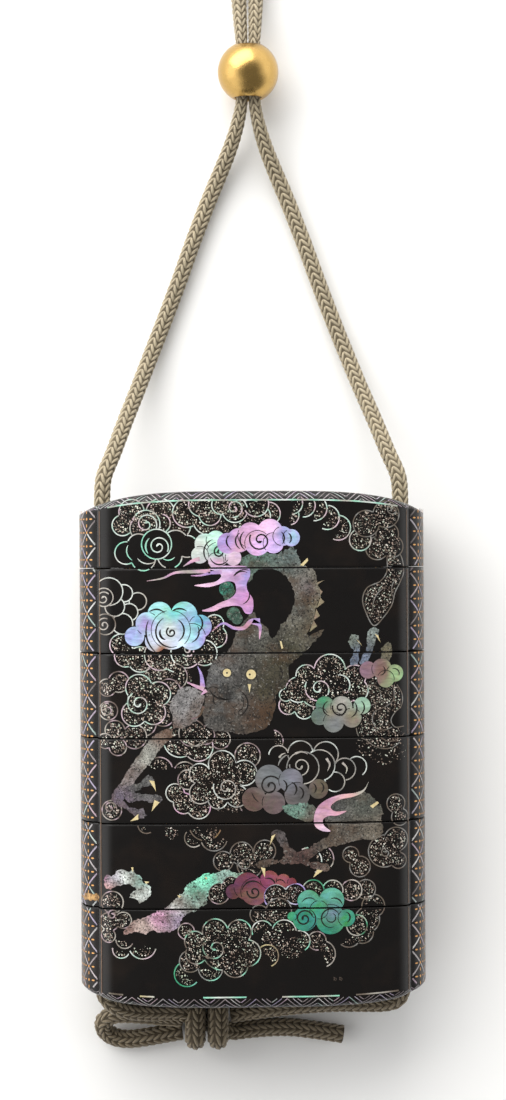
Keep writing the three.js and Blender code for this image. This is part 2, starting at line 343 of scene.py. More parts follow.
def linked(name, data):
    """A new object at the origin, in the scene."""
    made = bpy.data.objects.new(name, data)
    bpy.context.scene.collection.objects.link(made)
    return made


def new_object(name, vertices, faces, materials=(), smooth=True):
    """A mesh object at the origin, made from millimetres."""
    mesh = bpy.data.meshes.new(name)
    mesh.from_pydata([tuple(c * MM for c in v) for v in vertices], [], faces)
    for material in materials:
        mesh.materials.append(material)
    mesh.polygons.foreach_set("use_smooth", [smooth] * len(mesh.polygons))
    return linked(name, mesh)


CARRIED = {"FLOAT": "value", "FLOAT_VECTOR": "vector", "FLOAT_COLOR": "color"}


def carry(made, name, kind, values, domain="POINT"):
    """Give a mesh a named attribute. A colour gets a whole alpha."""
    if kind == "FLOAT_COLOR":
        values = np.column_stack([values, np.ones(len(values))])
    kept = made.data.attributes.new(name, kind, domain)
    kept.data.foreach_set(CARRIED[kind], np.array(values, float).ravel())


def outward(made):
    """Turn a closed mesh's faces outwards."""
    work = bmesh.new()
    work.from_mesh(made.data)
    bmesh.ops.recalc_face_normals(work, faces=work.faces)
    work.to_mesh(made.data)
    work.free()


def drop_empty_slots(mesh):
    """Take away material slots that hold nothing, and renumber the faces' slots to match."""
    materials = list(mesh.materials)
    kept = [material for material in materials if material]
    if len(kept) == len(materials):
        return
    numbers = [kept.index(material) if material else 0 for material in materials]
    slots = [numbers[polygon.material_index] for polygon in mesh.polygons]
    mesh.materials.clear()
    for material in kept:
        mesh.materials.append(material)
    mesh.polygons.foreach_set("material_index", slots)


def baked(made, name):
    """Replace an object with its evaluated shape, free of modifiers."""
    graph = bpy.context.evaluated_depsgraph_get()
    mesh = bpy.data.meshes.new_from_object(made.evaluated_get(graph), depsgraph=graph)
    bpy.data.objects.remove(made)
    mesh.name = name
    drop_empty_slots(mesh)
    return linked(name, mesh)


def settle(made, slot, *nodes):
    """Make a finished piece ride with the case and, where it stands for CAD nodes, replace them."""
    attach(made, "root")
    if nodes:
        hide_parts(*nodes)


# The tier of boxes


def panel_half(plan, x):
    """Distance of the outside from the middle plane at x, over the panel, its corner and the ridge."""
    away = abs(x)
    if away <= plan["panel_end"]:
        share = max(0.0, (away - plan["flat"]) / (plan["half"] - plan["flat"]))
        return MIDDLE - plan["sag"] * share * share
    if away <= plan["half"]:
        return float(np.interp(away, plan["corner"][:, 0], plan["corner"][:, 1]))
    share = min(1.0, (away - plan["half"]) / plan["ridge_out"])
    return plan["ridge"] * math.sqrt(1 - share * share)


CORNER_STEPS = 10
CORNER_WEIGHT = 0.72


def corner_curve(plan):
    """The rounded vertical corner, which flows out of the panel and ends square to the ridge's foot."""
    x0, end = plan["panel_end"], plan["half"]
    z0 = panel_half(plan, x0)
    slope = -2 * plan["sag"] * (x0 - plan["flat"]) / (end - plan["flat"]) ** 2
    x1, z1 = end, z0 + slope * (end - x0)
    z2 = plan["corner_low"]
    points = []
    for i in range(CORNER_STEPS + 1):
        t = i / CORNER_STEPS
        first, second, third = (1 - t) ** 2, 2 * CORNER_WEIGHT * t * (1 - t), t * t
        whole = first + second + third
        x = (first * x0 + (second + third) * x1) / whole
        points.append((x, (first * z0 + second * z1 + third * z2) / whole))
    return np.array(points)


def tier_plan():
    """The sizes that fix the plan of every box, in millimetres."""
    ridge_out = mm("tier", "ridge_out")
    half = HALF_WIDTH - ridge_out
    sag = mm("tier", "panel_sag")
    corner = mm("tier", "panel_corner")
    corner_low = MIDDLE - sag - corner
    plan = {
        "half": half,
        "flat": mm("tier", "panel_flat") / 2,
        "sag": sag,
        "panel_end": half - corner * 7 / 6,
        "corner_low": corner_low,
        "ridge_out": ridge_out,
        "ridge": corner_low - mm("tier", "ridge_step"),
    }
    plan["corner"] = corner_curve(plan)
    return plan


# Steps along the panel, round its corner and round the ridge, in a quarter of a plan.
PANEL_STEPS = 26
RIDGE_STEPS = 16


def arc(cx, cz, rx, rz, start, end, steps):
    """Points of an arc, without its first point."""
    angles = [start + (end - start) * i / steps for i in range(1, steps + 1)]
    return [(cx + rx * math.cos(a), cz + rz * math.sin(a)) for a in angles]


def whole_plan(quarter):
    """Mirror a quarter into a whole plan, along the front from left to right and back again."""
    left = [(-x, z) for x, z in reversed(quarter)]
    front = left[:-1] + quarter
    back = [(x, -z) for x, z in reversed(front[1:-1])]
    return np.array(front + back)


def outside_plan():
    """The outside of every box."""
    plan = tier_plan()
    panel = [plan["panel_end"] * i / PANEL_STEPS for i in range(PANEL_STEPS + 1)]
    quarter = [(x, panel_half(plan, x)) for x in panel]
    quarter += [tuple(point) for point in plan["corner"][1:]]
    quarter += arc(plan["half"], 0, plan["ridge_out"], plan["ridge"], math.pi / 2, 0, RIDGE_STEPS)
    return whole_plan(quarter)


def room_plan(half, wall):
    """A socket, rim or room, parallel to the panels and with as many points as the outside."""
    plan = tier_plan()
    corner = mm("tier", "room_corner")
    corner_x = half - corner
    corner_z = panel_half(plan, corner_x) - wall - corner
    panel = [corner_x * i / PANEL_STEPS for i in range(PANEL_STEPS + 1)]
    quarter = [(x, panel_half(plan, x) - wall) for x in panel]
    quarter += arc(corner_x, corner_z, corner, corner, math.pi / 2.1, 0, CORNER_STEPS)
    quarter += [(half, corner_z * (1 - i / RIDGE_STEPS)) for i in range(1, RIDGE_STEPS + 1)]
    return whole_plan(quarter)


def ring(plan, y, inset=0.0):
    """One ring of a box: a plan at a height, which may vary with x, set in from its outline."""
    end_x, end_z = plan[:, 0].max(), plan[:, 1].max()
    x = plan[:, 0] * (1 - inset / end_x)
    z = plan[:, 1] * (1 - inset / end_z)
    heights = np.array([y(value) for value in x]) if callable(y) else np.full(len(x), y)
    return np.column_stack([x, heights, z + MIDDLE])


def skin(rings):
    """Faces of a closed solid through the rings, with both ends capped from front to back."""
    count = len(rings[0])
    half = count // 2
    faces = []
    for level in range(len(rings) - 1):
        low = level * count
        for i in range(count):
            following = (i + 1) % count
            faces.append((low + i, low + following, low + count + following, low + count + i))
    for base in (0, (len(rings) - 1) * count):
        for i in range(half):
            loop = [i, i + 1, (count - i - 1) % count, (count - i) % count]
            corners = list(dict.fromkeys(loop))
            faces.append(tuple(base + c for c in corners))
    return faces


def crowned(middle, fall):
    """A height that falls towards the panels' edges."""
    half = tier_plan()["half"]
    return lambda x: middle - fall * (abs(x) / half) ** 4


SHOULDER_STEPS = 6


def shoulder_rings(is_lid):
    """The sloping band round the lid or the foot, from its outer edge in to the crown."""
    rise, inset = mm("tier", "shoulder_rise"), mm("tier", "shoulder_inset")
    side = "lid" if is_lid else "foot"
    crown, edge_crown = mm("tier", f"{side}_crown"), mm("tier", f"{side}_edge_crown")
    sign = 1 if is_lid else -1
    end = CROWN if is_lid else FOOT
    rings = []
    for i in range(SHOULDER_STEPS + 1):
        angle = math.pi / 2 * i / SHOULDER_STEPS
        share = math.cos(angle)
        leaned = inset * (1 - share)
        drop = rise * (1 - math.sin(angle))
        fall = crown + (edge_crown - crown) * drop / rise
        rings.append((crowned(end - sign * drop, sign * fall), leaned))
    return rings


# A wall is split this far from its rounded edges, so that it shades flat between them.
GUARD = 0.3


def box_rings(index):
    """All the rings of one box, from its underside to its room's floor, and the first that is inside."""
    outside = outside_plan()
    gap, edge = mm("tier", "joint_gap") / 2, mm("tier", "edge_round")
    wall, play = mm("tier", "outer_wall"), mm("tier", "rim_clearance")
    half, rim_wall, rim_height = mm("tier", "socket_half"), mm("tier", "rim_wall"), mm("tier", "rim_height")
    socket = room_plan(half, wall)
    rim = room_plan(half - play, wall + play)
    room = room_plan(half - play - rim_wall, wall + play + rim_wall)
    is_foot, is_lid = index == 0, index == len(TIER) - 1
    low = None if is_foot else JOINTS[index - 1]
    high = None if is_lid else JOINTS[index]
    socket_top = rim_height + 0.4
    rings = []
    if is_foot:
        rings += [ring(outside, y, inset) for y, inset in reversed(shoulder_rings(False))]
        rings += [
            ring(
                outside, crowned(FOOT + mm("tier", "shoulder_rise") + GUARD, -mm("tier", "foot_edge_crown")),
            ),
        ]
    else:
        top = low + socket_top
        if is_lid:
            top = crowned(CROWN - mm("tier", "ceiling_wall"), mm("tier", "lid_crown"))
        rings += [ring(socket, top), ring(socket, low + gap)]
        rings += [ring(outside, low + gap, edge), ring(outside, low + gap + edge / 3, edge / 3)]
        rings += [ring(outside, low + gap + edge), ring(outside, low + gap + edge + GUARD)]
    if is_lid:
        rings += [
            ring(outside, crowned(CROWN - mm("tier", "shoulder_rise") - GUARD, mm("tier", "lid_edge_crown"))),
        ]
        rings += [ring(outside, y, inset) for y, inset in shoulder_rings(True)]
        return rings, len(rings)
    rings += [ring(outside, high - gap - edge - GUARD), ring(outside, high - gap - edge)]
    rings += [ring(outside, high - gap - edge / 3, edge / 3)]
    rings += [ring(outside, high - gap, edge), ring(rim, high - gap)]
    inside = len(rings) - 1
    rim_top = high + rim_height
    rings += [ring(rim, rim_top - edge), ring(rim, rim_top, edge)]
    rings += [ring(room, rim_top, -edge), ring(room, rim_top - edge)]
    if is_foot:
        floor = crowned(FOOT + mm("tier", "ceiling_wall"), -mm("tier", "foot_crown"))
    else:
        floor = low + socket_top + mm("tier", "floor_wall")
    rings += [ring(room, floor)]
    return rings, inside


def cut_channels(made):
    """Bore the two cord channels through a box."""
    radius = mm("tier", "channel_bore") / 2 * MM
    work = bmesh.new()
    for side in (-1, 1):
        bore = bmesh.ops.create_cone(
            work, cap_ends=True, segments=48, radius1=radius, radius2=radius, depth=(CROWN - FOOT + 20) * MM
        )
        for vertex in bore["verts"]:
            x, y, z = vertex.co
            vertex.co = (x + side * mm("tier", "channel_place") * MM, z, -y + MIDDLE * MM)
    mesh = bpy.data.meshes.new("bores")
    work.to_mesh(mesh)
    work.free()
    cut = made.modifiers.new("channels", "BOOLEAN")
    cut.operation = "DIFFERENCE"
    cut.solver = "EXACT"
    cut.object = cutter = linked("bores", mesh)
    result = baked(made, made.name)
    bpy.data.objects.remove(cutter)
    return result


def lacquer_material():
    """Polished black lacquer, a little brown where it is worn, with fine scratches."""
    shades = settings("colours")
    material, tree, shader = new_material("black_lacquer")
    place = object_place(tree)
    wear = ramp(tree, noise(tree, place, 90, 5, 0.6), [(0.50, (0, 0, 0)), (0.82, (1, 1, 1))])
    base = mix(tree, wear, tuple(shades.lacquer), tuple(shades.worn_lacquer))
    streaks = node(tree, "ShaderNodeMapping", {"Vector": place, "Scale": (260, 2600, 260)})
    scratches = noise(tree, streaks.outputs[0], 1.0, 4, 0.6)
    smudges = noise(tree, place, 210, 4, 0.65)
    rough = times_plus(tree, smudges, 0.18, 0.20)
    height = maths(tree, "ADD", times(tree, scratches, 0.25), noise(tree, place, 60, 2))
    feed(tree, shader, Base_Color=base, Roughness=rough, Specular_IOR_Level=0.30)
    feed(tree, shader, Normal=bump(tree, height, 0.12, 0.0004))
    return material


def flecked_lacquer_material():
    """The inside: dark lacquer sprinkled with fine gold."""
    shades = settings("colours")
    material, tree, shader = new_material("flecked_lacquer")
    place = object_place(tree)
    cells = node(tree, "ShaderNodeTexVoronoi", {"Vector": place, "Scale": 2600, "Randomness": 1.0})
    flecks = ramp(tree, cells.outputs["Distance"], [(0.16, (1, 1, 1)), (0.26, (0, 0, 0))])
    picked = ramp(tree, noise(tree, place, 900, 2), [(0.46, (0, 0, 0)), (0.54, (1, 1, 1))])
    gold = mix(tree, 1.0, flecks, picked, "MULTIPLY")
    base = mix(tree, gold, (0.020, 0.011, 0.006), tuple(shades.inlaid_gold))
    feed(tree, shader, Base_Color=base, Metallic=gold, Roughness=0.22, Coat_Weight=0.6, Coat_Roughness=0.06)
    return material


class INRO_OT_boxes(Operator):
    """Make the lid, the cases and the base case, each hollow and with its rim and cord channels"""

    bl_idname = "inro.boxes"
    bl_label = "Lacquered boxes"

    def execute(self, context):
        outside, inside = lacquer_material(), flecked_lacquer_material()
        for index, name in enumerate(TIER):
            rings, first_inside = box_rings(index)
            vertices = np.concatenate(rings)
            faces = skin(rings)
            made = new_object(f"{name}_lacquered", vertices, faces, (outside, inside))
            count = len(rings[0])
            last_outside = len(rings) - 1 if first_inside == len(rings) else first_inside
            slots = [0] * len(faces)
            for level in range(len(rings) - 1):
                if level >= last_outside or (index > 0 and level == 0):
                    slots[level * count:(level + 1) * count] = [1] * count
            caps = (len(rings) - 1) * count
            half = count // 2
            if index > 0:
                slots[caps:caps + half] = [1] * half
            if index < len(TIER) - 1:
                slots[caps + half:] = [1] * (len(slots) - caps - half)
            made.data.polygons.foreach_set("material_index", slots)
            outward(made)
            made = cut_channels(made)
            made.data.set_sharp_from_angle(angle=math.radians(34))
            settle(made, "lacquer", name)
        return {"FINISHED"}


# The bead


def gilt_material():
    """Satin gilt metal with faint rubbing and pitting."""
    shades = settings("colours")
    material, tree, shader = new_material("gilt_metal")
    place = object_place(tree)
    broad = noise(tree, place, 240, 3, 0.6)
    base = mix(tree, broad, tuple(shades.gilt), dimmer(shades.gilt, 0.82))
    rough = times_plus(tree, noise(tree, place, 1500, 4, 0.7), 0.14, 0.19)
    feed(tree, shader, Base_Color=base, Metallic=1.0, Roughness=rough)
    feed(tree, shader, Normal=bump(tree, noise(tree, place, 2600, 5, 0.6), 0.10, 0.0002))
    return material


BEAD_SEGMENTS = 96
BEAD_RINGS = 56
MOUTH_RINGS = 6


class INRO_OT_bead(Operator):
    """Make the gilt bead that slides on the two strands"""

    bl_idname = "inro.bead"
    bl_label = "Bead"

    def execute(self, context):
        radius = (BEAD_HIGH[0] - BEAD_LOW[0]) / 2
        bore = mm("cord", "bead_bore") / 2
        lip = 0.35
        tilt = math.acos((bore + lip) / radius)
        mouth = radius * math.sin(tilt)
        profile = [(radius * math.cos(a), radius * math.sin(a)) for a in np.linspace(-tilt, tilt, BEAD_RINGS)]
        turns = [math.pi / 2 * i / MOUTH_RINGS for i in range(1, MOUTH_RINGS + 1)]
        rounded = [(bore + lip * (1 - math.sin(a)), mouth - lip * (1 - math.cos(a)) * 0.8) for a in turns]
        profile += rounded + [(r, -y) for r, y in reversed(rounded)]
        vertices = []
        for r, y in profile:
            for i in range(BEAD_SEGMENTS):
                angle = 2 * math.pi * i / BEAD_SEGMENTS
                x, z = r * math.sin(angle), r * math.cos(angle)
                vertices.append((BEAD_CENTRE[0] + x, BEAD_CENTRE[1] + y, BEAD_CENTRE[2] + z))
        faces = []
        for level in range(len(profile)):
            low, high = level * BEAD_SEGMENTS, (level + 1) % len(profile) * BEAD_SEGMENTS
            for i in range(BEAD_SEGMENTS):
                following = (i + 1) % BEAD_SEGMENTS
                faces.append((low + i, low + following, high + following, high + i))
        made = new_object("gilt_bead", vertices, faces, (gilt_material(),))
        outward(made)
        settle(made, "gilt", "bead")
        return {"FINISHED"}


# The braided cord


def painted_shade_low(tree, place, base):
    """Painted shade: the silk is darkened towards the bow under the foot, where the cord lies in shade."""
    height = node(tree, "ShaderNodeSeparateXYZ", {0: place}).outputs[1]
    share = times_plus(tree, height, 11.0, 0.5)
    low_shade_ramp = ramp(tree, share, [(0.0, (0.56, 0.53, 0.50)), (1.0, (1, 1, 1))])
    return mix(tree, 1.0, base, low_shade_ramp, "MULTIPLY")


def silk_material():
    """Braided silk: light stitches of fine parallel threads over a core, with painted shade on the stitches'
    rims and on the core between them.
    """
    shades = settings("colours")
    material, tree, shader = new_material("braided_silk")
    place = object_place(tree)
    stitch = attribute(tree, "stitch", "Vector")
    shade = attribute(tree, "shade")
    across = node(tree, "ShaderNodeSeparateXYZ", {0: stitch})
    threads = maths(tree, "SINE", times(tree, across.outputs[0], 26.0))
    worn = noise(tree, place, 120, 3, 0.6)
    light = mix(tree, worn, tuple(shades.silk), dimmer(shades.silk, 0.72))
    lit = mix(tree, times(tree, shade, 0.45), light, dimmer(shades.silk, 1.25))
    # Painted shade: the rim of each stitch sinks towards its neighbours, and is darkened there towards the
    # silk's shade colour.
    rim = times(tree, maths(tree, "ABSOLUTE", across.outputs[0]), 0.95)
    base = mix(tree, maths(tree, "POWER", rim, 2.8), lit, tuple(shades.silk_shade))
    # Painted shade: the silk grows darker towards the bow under the foot.
    base = painted_shade_low(tree, place, base)
    fibres = noise(tree, place, 9000, 2, 0.6)
    height = maths(tree, "ADD", times(tree, threads, 0.5), fibres)
    feed(tree, shader, Base_Color=base, Roughness=0.62, Sheen_Weight=0.25, Sheen_Roughness=0.4)
    feed(tree, shader, Normal=bump(tree, height, 0.35, 0.00008))
    return material


def core_shade_material():
    """Painted shade: the heart of the braid, coloured dark to stand for the shade that shows between the
    stitches.
    """
    shades = settings("colours")
    material, tree, shader = new_material("silk_core")
    worn = noise(tree, object_place(tree), 700, 3, 0.6)
    base = mix(tree, worn, tuple(shades.silk_shade), dimmer(shades.silk_shade, 0.55))
    # Painted shade: the core grows darker towards the bow under the foot.
    base = painted_shade_low(tree, object_place(tree), base)
    feed(tree, shader, Base_Color=base, Roughness=0.85)
    return material


# One stitch: its width and length in rows of the braid, its thickness and its place out from the cord's
# axis in radii, and its lean. The core is a little thinner than the cord.
STITCH_WIDE = 0.285
STITCH_LONG = 0.86
STITCH_THICK = 0.22
STITCH_PLACE = 0.80
STITCH_LEAN = 0.56
CORE_RADIUS = 0.84


def braid_tree():
    """A tree that braids a cord along its curve: stitches in mirrored columns round a core."""
    kinds = {"Pitch": "Float", "Width": "Float", "Columns": "Int", "Stitches": "Material", "Core": "Material"}
    tree, given = geometry_tree("braid", **kinds)
    path, columns = given["Geometry"], given["Columns"]
    full = geo(tree, "CurveLength", {0: path})
    rows = maths(tree, "ROUND", over(tree, full, given["Pitch"]))
    step = over(tree, full, rows)
    half = times(tree, given["Width"], 0.5)

    # A stitch is a grain of rice that lies along the cord and leans.
    grain = geo(tree, "MeshUVSphere", {"Segments": 7, "Rings": 5, "Radius": 1.0})
    grain = marked(tree, grain, "stitch", geo(tree, "InputPosition"), "FLOAT_VECTOR")
    waist, thick = times(tree, step, STITCH_WIDE), times(tree, half, STITCH_THICK)
    size = xyz(tree, X=waist, Y=thick, Z=times(tree, step, STITCH_LONG))
    grain = geo(tree, "Transform", {"Geometry": grain, "Scale": size})

    # Stitches stand in a flat sheet first: round the cord along X, outwards along Y, along the cord by Z.
    points = geo(tree, "MeshLine", {"Count": times(tree, columns, rows)}, mode="OFFSET")
    index = geo(tree, "InputIndex")
    column = maths(tree, "MODULO", index, columns)
    row = maths(tree, "FLOOR", over(tree, index, columns))
    across = times(tree, times(tree, over(tree, column, columns), 2 * math.pi), half)
    along = times(tree, maths(tree, "ADD", row, 0.5), step)
    where = xyz(tree, X=across, Y=times(tree, half, STITCH_PLACE), Z=along)
    placed = geo(tree, "SetPosition", {"Geometry": points, "Position": where})
    lean = times_plus(tree, maths(tree, "MODULO", column, 2.0), 2 * STITCH_LEAN, -STITCH_LEAN)
    stood = {"Points": placed, "Instance": grain, "Rotation": xyz(tree, Y=lean)}
    stitches = marked(tree, geo(tree, "InstanceOnPoints", stood), "shade", luck(tree, 7), domain="INSTANCE")
    sheet = geo(tree, "RealizeInstances", {0: stitches})

    # Wrap the sheet round the path: X goes round the cord, Y outwards and Z along the path.
    flat = node(tree, "ShaderNodeSeparateXYZ", {0: geo(tree, "InputPosition")}).outputs
    angle, out = over(tree, flat[0], half), over(tree, flat[1], half)
    kept = maths(tree, "MINIMUM", maths(tree, "MAXIMUM", flat[2], 0.0), full)
    radius = geo(tree, "InputRadius")
    sample = {"Curves": path, "Value": radius, "Length": kept}
    found = node(
        tree, "GeometryNodeSampleCurve", sample, mode="LENGTH", data_type="FLOAT", use_all_curves=True,
    )
    thick, centre, tangent, normal = found.outputs[:4]
    side = vector_maths(tree, "CROSS_PRODUCT", tangent, normal)
    reach = times(tree, thick, out)
    over_it = scaled(tree, normal, times(tree, maths(tree, "COSINE", angle), reach))
    beside = scaled(tree, side, times(tree, maths(tree, "SINE", angle), reach))
    spot = vector_maths(tree, "ADD", centre, vector_maths(tree, "ADD", over_it, beside))
    wrapped = clad(tree, geo(tree, "SetPosition", {"Geometry": sheet, "Position": spot}), given["Stitches"])

    circle = geo(tree, "CurvePrimitiveCircle", {"Resolution": 16, "Radius": CORE_RADIUS})
    tube = {"Curve": path, "Profile Curve": circle, "Fill Caps": True, "Scale": radius}
    tube = clad(tree, geo(tree, "CurveToMesh", tube), given["Core"])
    joined = node(tree, "GeometryNodeJoinGeometry")
    tree.links.new(tube, joined.inputs[0])
    tree.links.new(wrapped, joined.inputs[0])
    smooth = geo(tree, "SetShadeSmooth", {"Geometry": joined.outputs[0]})
    node(tree, "NodeGroupOutput", {"Geometry": smooth})
    return tree


def set_input(modifier, name, value):
    """Set a modifier's input by its socket's identifier."""
    for item in modifier.node_group.interface.items_tree:
        if item.item_type == "SOCKET" and item.in_out == "INPUT" and item.name == name:
            modifier[item.identifier] = value
            return
    raise ValueError(f"the tree has no input named {name}")


def grown(host, tree, **inputs):
    """Run a tree on an object, and keep what it makes as a plain mesh."""
    maker = host.modifiers.new(tree.name, "NODES")
    maker.node_group = tree
    for name, value in inputs.items():
        set_input(maker, name, value)
    return baked(host, host.name)


def through(points, spacing=0.9):
    """A smooth path through chosen points: a centripetal Catmull-Rom curve, in even steps."""
    knots = [Vector(p) for p in points]
    padded = [knots[0] * 2 - knots[1], *knots, knots[-1] * 2 - knots[-2]]
    path = [knots[0]]
    for p0, p1, p2, p3 in zip(padded, padded[1:], padded[2:], padded[3:]):
        t1 = max(1e-6, (p1 - p0).length ** 0.5)
        t2 = t1 + max(1e-6, (p2 - p1).length ** 0.5)
        t3 = t2 + max(1e-6, (p3 - p2).length ** 0.5)
        steps = max(1, round((p2 - p1).length / spacing))
        for i in range(1, steps + 1):
            t = t1 + (t2 - t1) * i / steps
            a1 = p0.lerp(p1, t / t1)
            a2 = p1.lerp(p2, (t - t1) / (t2 - t1))
            a3 = p2.lerp(p3, (t - t2) / (t3 - t2))
            b1 = a1.lerp(a2, t / t2)
            b2 = a2.lerp(a3, (t - t1) / (t3 - t1))
            path.append(b1.lerp(b2, (t - t1) / (t2 - t1)))
    return path


def braid(name, path, widths, materials):
    """Braid a cord of silk along a path, with its width at each point."""
    curve = bpy.data.curves.new(name, "CURVE")
    curve.dimensions = "3D"
    spline = curve.splines.new("POLY")
    spline.points.add(len(path) - 1)
    for point, place, width in zip(spline.points, path, widths):
        point.co = (*(place * MM), 1)
        point.radius = width / 2 * MM
    sizes = settings("cord")
    given = {"Pitch": sizes.stitch_pitch, "Width": max(widths) * MM, "Columns": sizes.columns}
    tree = bpy.data.node_groups.get("braid") or braid_tree()
    return grown(linked(name, curve), tree, Stitches=materials[0], Core=materials[1], **given)


# The cord's route, from the same places as the solids: the channels, the crown, the foot and the bead.
CHANNEL = 26.6
BEAD_UP = BEAD_CENTRE[1]
ON_SURFACE = 1.52
SLACK_ON_SURFACE = 1.72
HANGING_HALF = [
    (CHANNEL, CROWN - 3.6, MIDDLE),
    (CHANNEL, CROWN - 0.4, MIDDLE),
    (26.3, CROWN + 2.8, 11.3),
    (24.7, CROWN + 7.0, 9.6),
    (22.4, CROWN + 13.4, 6.4),
    (20.1, CROWN + 19.4, 3.6),
    (17.9, CROWN + 25.2, 2.0),
    (15.4, CROWN + 31.6, ON_SURFACE),
    (12.6, CROWN + 39.0, ON_SURFACE),
    (10.0, CROWN + 46.2, ON_SURFACE),
    (7.3, CROWN + 53.2, ON_SURFACE),
    (5.0, CROWN + 58.6, 2.1),
    (3.1, CROWN + 63.2, 3.4),
    (1.8, CROWN + 67.4, 4.8),
    (1.15, CROWN + 71.2, 5.5),
    (1.15, BEAD_UP, 5.5),
    (1.15, BEAD_UP + 5.4, 5.5),
    (1.35, BEAD_UP + 9.4, 4.6),
    (1.53, BEAD_UP + 13.6, 3.1),
    (1.8, BEAD_UP + 17.6, 2.0),
    (2.6, BEAD_UP + 21.4, ON_SURFACE),
    (4.2, BEAD_UP + 25.4, ON_SURFACE),
    (5.8, BEAD_UP + 29.4, ON_SURFACE),
    (6.4, BEAD_UP + 33.6, ON_SURFACE),
    (5.6, BEAD_UP + 37.2, ON_SURFACE),
    (3.2, BEAD_UP + 39.6, ON_SURFACE),
]
LOOP_END = (0, BEAD_UP + 40.5, ON_SURFACE)
HANGING = [(-x, y, z) for x, y, z in HANGING_HALF] + [LOOP_END] + HANGING_HALF[::-1]
KNOT_LEFT = -12.5
KNOT_RIGHT = -4.3
FOOT_LEFT = [
    (-CHANNEL, FOOT + 2.4, MIDDLE),
    (-26.4, FOOT + 0.6, 11.4),
    (-24.9, FOOT - 1.3, 10.7),
    (-22.4, FOOT - 2.5, 9.6),
    (-18.6, FOOT - 3.1, 8.4),
    (KNOT_LEFT - 0.3, FOOT - 3.5, 7.3),
]
FOOT_RIGHT = [
    (CHANNEL, FOOT + 2.4, MIDDLE),
    (26.5, FOOT + 0.3, 11.3),
    (25.6, FOOT - 1.1, 10.7),
    (23.6, FOOT - 1.8, 9.9),
    (20.0, FOOT - 2.0, 9.0),
    (15.0, FOOT - 2.1, 8.1),
    (8.5, FOOT - 2.6, 7.2),
    (2.0, FOOT - 3.4, 6.4),
    (KNOT_RIGHT + 0.3, FOOT - 4.3, 5.8),
]
BOW_LOOP = [
    (KNOT_LEFT - 0.3, FOOT - 7.9, SLACK_ON_SURFACE),
    (-15.8, FOOT - 8.4, SLACK_ON_SURFACE),
    (-19.4, FOOT - 9.0, SLACK_ON_SURFACE),
    (-22.8, FOOT - 9.3, SLACK_ON_SURFACE),
    (-25.4, FOOT - 8.7, 2.0),
    (-26.9, FOOT - 7.2, 2.8),
    (-27.0, FOOT - 5.6, 3.8),
    (-25.6, FOOT - 4.4, 4.7),
    (-23.0, FOOT - 4.1, 5.0),
    (-19.2, FOOT - 4.4, 4.8),
    (-15.8, FOOT - 4.8, 4.4),
    (KNOT_LEFT - 0.3, FOOT - 5.1, 4.1),
]
TAIL = [
    (KNOT_RIGHT + 0.3, FOOT - 8.0, 1.9),
    (-1.0, FOOT - 7.8, SLACK_ON_SURFACE),
    (3.0, FOOT - 7.5, SLACK_ON_SURFACE),
    (7.0, FOOT - 7.5, SLACK_ON_SURFACE),
    (11.0, FOOT - 8.0, SLACK_ON_SURFACE),
    (16.6, FOOT - 8.9, SLACK_ON_SURFACE),
]
KNOT_NEAR = FOOT - 1.2
KNOT_FAR = FOOT - 10.1
KNOT_LOW = 0.15
KNOT_TOP = 9.0
WRAPS = 2
# A wrap's share of its place in the knot, how far the knot is pressed flat, and its height over the floor.
WRAP_SHARE = 0.92
PRESSED = 0.93
OVER_FLOOR = 0.06


def squeezed_width(place):
    """Width of a hanging strand: squeezed by the bead, and full away from it."""
    full, least = mm("cord", "width"), mm("cord", "squeezed_width")
    radius = (BEAD_HIGH[0] - BEAD_LOW[0]) / 2
    share = max(0.0, abs(place.y - BEAD_UP) - radius) / mm("cord", "squeeze_reach")
    share = min(1.0, share)
    return least + (full - least) * share * (2 - share)


def wrap_path(x):
    """A flattened wrap of the knot: a rounded loop in the plane of the foot, which overlaps underneath."""
    thick = 1.1
    near, far = KNOT_NEAR - thick, KNOT_FAR + thick
    low, top = KNOT_LOW + thick + 0.1, KNOT_TOP - thick
    corner = 1.5
    turns = [(near, low, -90, 0), (near, top, 0, 90), (far, top, 90, 180), (far, low, 180, 270)]
    points = []
    for y, z, start, end in turns:
        cy = y - corner if y == near else y + corner
        cz = z + corner if z == low else z - corner
        for i in range(4):
            angle = math.radians(start + (end - start) * i / 3)
            points.append(Vector((x, cy + corner * math.cos(angle), cz + corner * math.sin(angle))))
    return through([*points, points[0], points[1]], 0.5)


